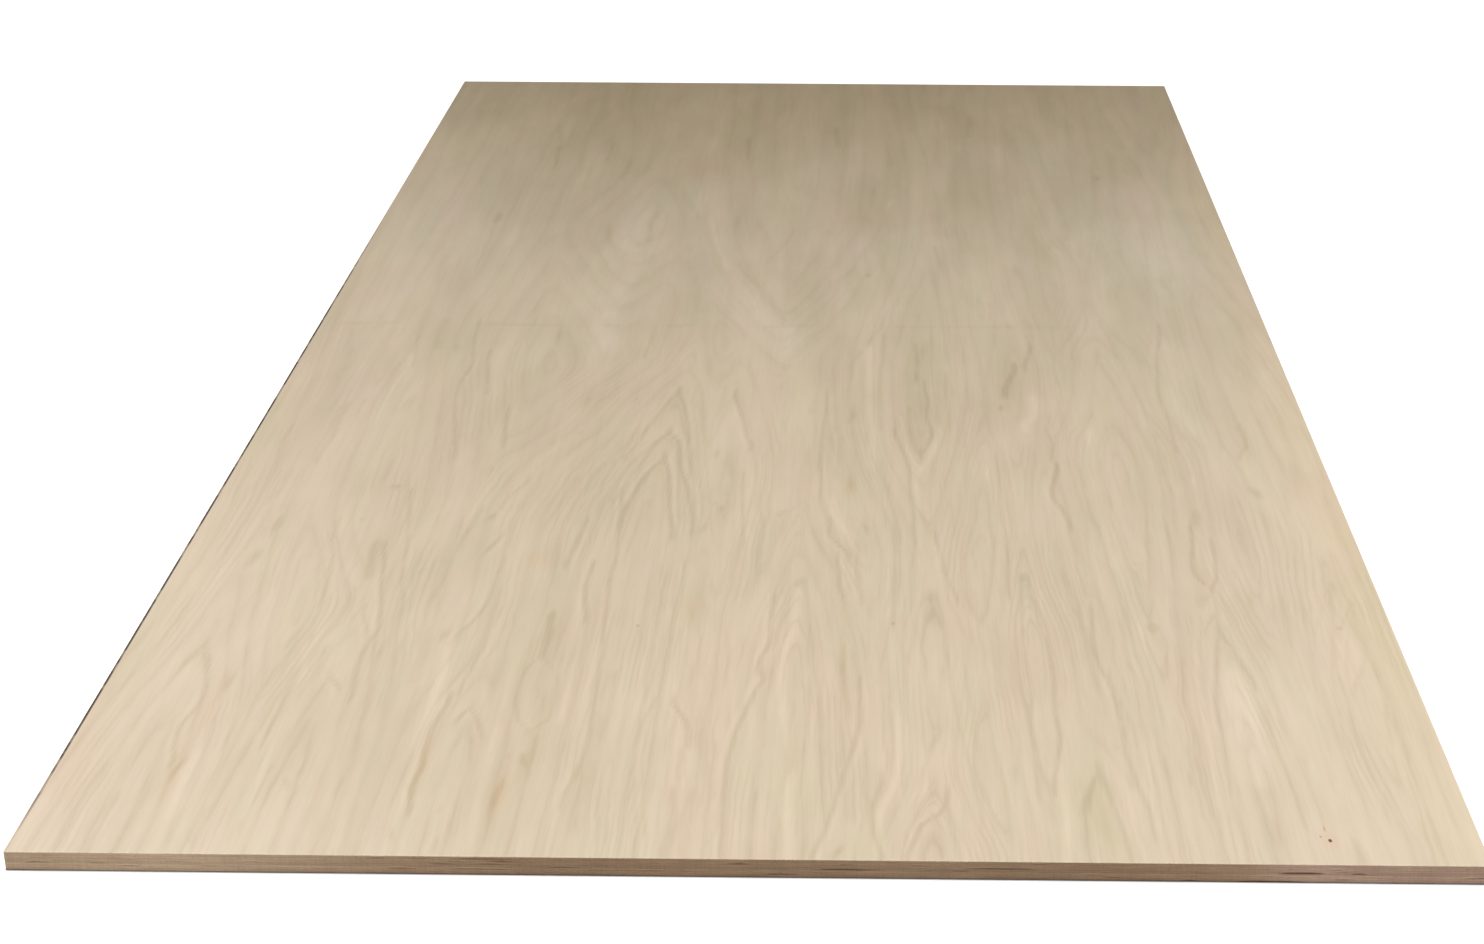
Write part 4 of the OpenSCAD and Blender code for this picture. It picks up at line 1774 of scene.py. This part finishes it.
@dataclass
class CorePly(SheetPart):
    """One cross-laid ply, with its sawn sides modelled: uneven cut, open gaps and small tear-outs."""

    grain: Grain = Grain.ACROSS
    gaps: tuple[Gap, ...] = ()
    seed: int = 0
    pitch: float = 5 * MM
    """Spacing of the points round the sides."""
    rows: int = 5
    cut: float = 0.16 * MM
    """How uneven the saw left the side."""
    cut_pitch: float = 90.0
    """Saw marks in each metre, roughly."""
    tear: float = 2.2 * MM
    """Scale of how deep the tear-outs are."""
    gap_reach: float = 0.34
    """Half the height of an open gap, as a share of the ply."""
    map_rows: int = 8
    """Rows that the sides take in the bake map, under the hidden faces."""

    def build(self, finish: EdgeFinish) -> bpy.types.Object:
        """Builds the ply.

        Args:
            finish: Its finish.

        Returns:
            The piece.
        """
        mesh = rectangle(self.span, self.span.high.z)
        bmesh.ops.delete(mesh, geom=mesh.faces[:], context="FACES_ONLY")
        for axis in (0, 1):
            run = [edge for edge in mesh.edges
                   if abs((edge.verts[1].co - edge.verts[0].co)[axis]) > self.pitch]
            bmesh.ops.subdivide_edges(mesh, edges=run, cuts=round(self.span.size[axis] / self.pitch) - 1)
        loop = mesh.edges[:]
        top = loop
        for _ in range(self.rows):
            loop = pull(mesh, loop, -self.span.size.z / self.rows)
        bmesh.ops.contextual_create(mesh, geom=loop)
        bmesh.ops.contextual_create(mesh, geom=top)
        bmesh.ops.recalc_face_normals(mesh, faces=mesh.faces)
        self.lay_out(mesh)
        depths = self.saw(mesh)
        piece = add_piece(self.name, mesh, finish.material())
        write_layer(piece.data, Attribute.RECESS, depths)
        self.join_frame(piece)
        return piece

    def saw(self, mesh: bmesh.types.BMesh) -> list[float]:
        """Pushes the sides in by the saw's marks and the gaps.

        Args:
            mesh: The ply, with true sides.

        Returns:
            Depth of each point below the true side, in millimetres.
        """
        low, high = self.span.low.copy(), self.span.high.copy()
        depths = []
        for vert in mesh.verts:
            deepest = 0.0
            start = vert.co.copy()
            for side in Side:
                axis = 1 if side in (Side.NEAR, Side.FAR) else 0
                bound, inward = (low, 1) if side in (Side.NEAR, Side.LEFT) else (high, -1)
                if abs(start[axis] - bound[axis]) > TOUCH:
                    continue
                depth = self.depth(side, start)
                vert.co[axis] += inward * depth
                deepest = max(deepest, depth)
            depths.append(deepest / MM)
        return depths

    def depth(self, side: Side, point: Vector) -> float:
        """How far a point of a side is pushed in.

        Args:
            side: The side.
            point: The point.

        Returns:
            The depth, in metres.
        """
        along = point.x - self.span.low.x if side in (Side.NEAR, Side.FAR) else point.y - self.span.low.y
        level = (point.z - self.span.low.z) / self.span.size.z
        row = self.seed * 11.3 + 5 * list(Side).index(side)
        where = Vector((along * self.cut_pitch, row, level * 0.8))
        rough = self.cut * (0.5 + 0.5 * noise.noise(where))
        torn = self.tear * max(0.0, noise.noise(where * 0.45 + Vector((40, 0, 0))) - 0.42)
        deep = rough + torn * max(0.0, 1 - abs(level - 0.5) * 1.6)
        for gap in self.gaps:
            if gap.side is side:
                aside = (along / MM - gap.centre) / (gap.length / 2)
                above = (level - gap.level) / self.gap_reach
                open_part = max(0.0, 1 - aside**4) * max(0.0, 1 - above**2)
                deep = max(deep, gap.depth * MM * open_part)
        return deep

    def lay_out(self, mesh: bmesh.types.BMesh) -> None:
        """Gives the ply its bake map: the sides in rows, and the hidden faces above them.

        Args:
            mesh: The ply, with true sides.
        """
        layer = mesh.loops.layers.uv.new(BAKE_MAP)
        rim = Rim(self.span)
        row_length, row_height = rim.total / self.map_rows, 0.84 / self.map_rows
        margin = 0.012
        for face in mesh.faces:
            if abs(face.normal.z) > 0.5:
                for loop in face.loops:
                    place = loop.vert.co - self.span.low
                    loop[layer].uv = (margin + (1 - 2 * margin) * place.x / self.span.size.x,
                                      0.86 + 0.13 * place.y / self.span.size.y)
                continue
            side = rim.side(face.normal)
            row = min(int(rim.distance(side, face.calc_center_median()) / row_length), self.map_rows - 1)
            for loop in face.loops:
                past = rim.distance(side, loop.vert.co) / row_length - row
                level = (loop.vert.co.z - self.span.low.z) / self.span.size.z
                loop[layer].uv = (margin + (1 - 2 * margin) * past, (row + 0.08 + 0.84 * level) * row_height)


# --- The sheet and its studio ----------------------------------------------------------------


@dataclass
class PlywoodSheet:
    """The whole sheet, from its face veneer down to its back veneer."""

    face_wood: RGB = (0.803, 0.671, 0.504)
    back_wood: RGB = (0.700, 0.545, 0.390)
    core_wood: RGB = (0.396, 0.268, 0.167)

    def build(self) -> None:
        """Builds and dresses every leaf."""
        self.build_face()
        self.build_core()
        self.build_back()

    def build_face(self) -> None:
        """Builds the face veneer, with the joint of the top crossband showing through."""
        veneer = OuterVeneer("face_leaf", ("face_veneer",), "face_wood", figure=FACE_FIGURE)
        low = veneer.span.low
        finish = VeneerFinish(
            "face_birch",
            veneer.span,
            wood=self.face_wood,
            line_tint=(0.870, 0.853, 0.818),
            ring_strength=0.8,
            # Painted light: the face is lighter towards both long sides.
            painted_side_light=(1.10, 1.11, 1.14),
            far_calm=0.36,
            joint=Span.of("crossband_1_near_leaf").high.y,
            # Painted shadow along the left side, over most of its length.
            left_shadow_span=(low.y - 0.04, low.y + 1.75),
            flecks=(
                Fleck(1094, 36, 2.2, 3.6, (0.26, 0.15, 0.12), 11, (1.01, 0.965, 0.93)),
                Fleck(1087, 42, 1.4, 2.4, (0.80, 0.62, 0.50)),
                Fleck(1092, 54, 1.4, 6.0, (0.90, 0.74, 0.64)),
                Fleck(986, 413, 10, 14, (0.95, 0.925, 0.91)),
                Fleck(1168, 415, 5, 6, (0.94, 0.91, 0.87)),
                Fleck(734, 417, 2.4, 5.0, (0.89, 0.86, 0.81)),
                Fleck(485, 408, 3.0, 4.0, (0.88, 0.85, 0.80)),
            ),
        )
        veneer.build(finish)

    def build_core(self) -> None:
        """Builds the cross-laid plies."""
        sheet = Span.of("face_veneer", "back_veneer")
        plies = (
            (1.00, CorePly("crossband_1_near", ("crossband_1_near_leaf",), "crossband_wood", Grain.ACROSS,
                           (Gap(Side.NEAR, 395, 60, 0.5, 0.35),), 1)),
            (1.00, CorePly("crossband_1_far", ("crossband_1_far_leaf",), "crossband_wood", Grain.ACROSS,
                           (), 2)),
            (1.05, CorePly("long_ply_upper", ("long_ply_1",), "long_ply_wood", Grain.ALONG,
                           (Gap(Side.RIGHT, 900, 30, 1.2),), 3)),
            (0.99, CorePly("crossband_upper", ("crossband_2",), "crossband_wood", Grain.ACROSS,
                           (Gap(Side.NEAR, 820, 60, 0.6, 0.4), Gap(Side.LEFT, 1510, 14, 2.6)), 4)),
            (0.93, CorePly("long_ply_centre", ("long_ply_2",), "long_ply_wood", Grain.ALONG,
                           (Gap(Side.NEAR, 1066, 40, 1.1, 0.62), Gap(Side.NEAR, 1112, 16, 0.8, 0.62),
                            Gap(Side.NEAR, 690, 44, 0.7, 0.5)), 5)),
            (1.04, CorePly("crossband_lower", ("crossband_3",), "crossband_wood", Grain.ACROSS,
                           (Gap(Side.RIGHT, 1790, 12, 2.6), Gap(Side.FAR, 420, 40, 1.2, 0.4)), 6)),
            (1.02, CorePly("long_ply_lower", ("long_ply_3",), "long_ply_wood", Grain.ALONG,
                           (Gap(Side.NEAR, 640, 30, 0.6, 0.4), Gap(Side.LEFT, 620, 36, 1.2)), 7)),
            (0.95, CorePly("crossband_bottom", ("crossband_4",), "crossband_wood", Grain.ACROSS,
                           (Gap(Side.NEAR, 1040, 60, 0.8, 0.3),), 8)),
        )
        for tone, ply in plies:
            wood = tuple(part * tone for part in self.core_wood)
            ply.build(EdgeFinish(f"{ply.name}_edge", ply.grain, wood, ply.span, sheet, 17.0 * ply.seed))

    def build_back(self) -> None:
        """Builds the back veneer, darker and plainer than the face."""
        veneer = OuterVeneer("back_leaf", ("back_veneer",), "back_wood", faces_up=False,
                             cells_across=200, cells_along=120)
        veneer.figure = plain_figure(veneer.span, seed=11)
        finish = VeneerFinish(
            "back_wood",
            veneer.span,
            wood=self.back_wood,
            line_tint=(0.78, 0.74, 0.66),
            ring_strength=0.9,
            # Painted shade: the back veneer's dark bluish sides stand for the contact shadow under the
            # sheet.
            side_shade_tint=(0.26, 0.27, 0.31),
            flecks=(
                Fleck(310, 700, 9, 14, (0.42, 0.28, 0.20), 26, (0.90, 0.80, 0.70)),
                Fleck(905, 1710, 7, 11, (0.45, 0.30, 0.22), 22, (0.92, 0.82, 0.72)),
            ),
            seed=140.0,
        )
        veneer.build(finish)


@dataclass
class Studio:
    """White floor, soft light from above the near half, and the camera."""

    floor_half: float = 9.0
    floor_drop: float = 0.2 * MM
    """Gap that keeps the floor clear of the sheet's underside."""
    eye: RGB = (0.0958, -2.8912, 1.1112)
    turn: float = 0.6006
    """Turn of the view to the left, in degrees."""
    pitch: float = 24.0423
    """Tilt of the view below level, in degrees."""
    roll: float = 0.2286
    """Turn about the line of view, in degrees."""
    lens: float = 58.447
    """Focal length, in millimetres."""
    shift: float = -0.06784
    """Sideways shift of the frame, as a share of its width."""
    lamp_place: RGB = (0.0, -0.89, 4.0)
    lamp_tilt: float = -34.4
    """Tilt of the lamp towards the near end, in degrees."""
    lamp_size: tuple[float, float] = (3.0, 1.2)
    lamp_power: float = 185.0
    """Power of the lamp, in watts."""
    sky: float = 0.07
    """Strength of the even light from all round."""

    def build(self) -> None:
        """Builds the studio round the sheet."""
        scene = bpy.context.scene
        scene.view_settings.view_transform = "Standard"
        self.build_floor()
        self.build_lamp()
        self.build_sky(scene)
        self.build_camera(scene)

    def build_floor(self) -> None:
        """Lays the floor just under the sheet."""
        side = Vector((self.floor_half, self.floor_half, 0))
        mesh = rectangle(Span(-side, side), -self.floor_drop)
        floor = add_piece("floor", mesh, FloorFinish().material())

    def build_lamp(self) -> None:
        """Hangs one large soft lamp."""
        light = bpy.data.lights.new("lamp", "AREA")
        light.shape = "RECTANGLE"
        light.size, light.size_y = self.lamp_size
        light.energy = self.lamp_power
        lamp = bpy.data.objects.new("lamp", light)
        lamp.location = self.lamp_place
        lamp.rotation_euler.x = math.radians(self.lamp_tilt)
        bpy.context.scene.collection.objects.link(lamp)

    def build_sky(self, scene: bpy.types.Scene) -> None:
        """Surrounds the scene with a weak even light, and shows the background full white.

        Args:
            scene: The scene.
        """
        world = bpy.data.worlds.new("studio")
        scene.world = world
        world.use_nodes = True
        tree = world.node_tree
        tree.nodes.clear()
        output = tree.nodes.new("ShaderNodeOutputWorld")
        even, backdrop = (tree.nodes.new("ShaderNodeBackground") for _ in range(2))
        for glow, strength in ((even, self.sky), (backdrop, 1.0)):
            glow.inputs["Color"].default_value = (1.0, 1.0, 1.0, 1.0)
            glow.inputs["Strength"].default_value = strength
        path = tree.nodes.new("ShaderNodeLightPath")
        pick = tree.nodes.new("ShaderNodeMixShader")
        tree.links.new(path.outputs["Is Camera Ray"], pick.inputs["Fac"])
        tree.links.new(even.outputs["Background"], pick.inputs[1])
        tree.links.new(backdrop.outputs["Background"], pick.inputs[2])
        tree.links.new(pick.outputs["Shader"], output.inputs["Surface"])

    def build_camera(self, scene: bpy.types.Scene) -> None:
        """Places the camera.

        Args:
            scene: The scene.
        """
        optics = bpy.data.cameras.new("camera")
        optics.lens = self.lens
        optics.shift_x = self.shift
        camera = bpy.data.objects.new("camera", optics)
        turned = Matrix.Rotation(math.radians(self.turn), 4, "Z")
        tilted = Matrix.Rotation(math.radians(90 - self.pitch), 4, "X")
        rolled = Matrix.Rotation(math.radians(self.roll), 4, "Z")
        camera.matrix_world = Matrix.Translation(self.eye) @ turned @ tilted @ rolled
        scene.collection.objects.link(camera)
        scene.camera = camera


def main() -> None:
    """Builds the sheet and its studio."""
    logging.basicConfig(level=logging.INFO, format="%(name)s: %(message)s")
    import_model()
    PlywoodSheet().build()
    Studio().build()
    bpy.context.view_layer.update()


if __name__ == "__main__":
    main()
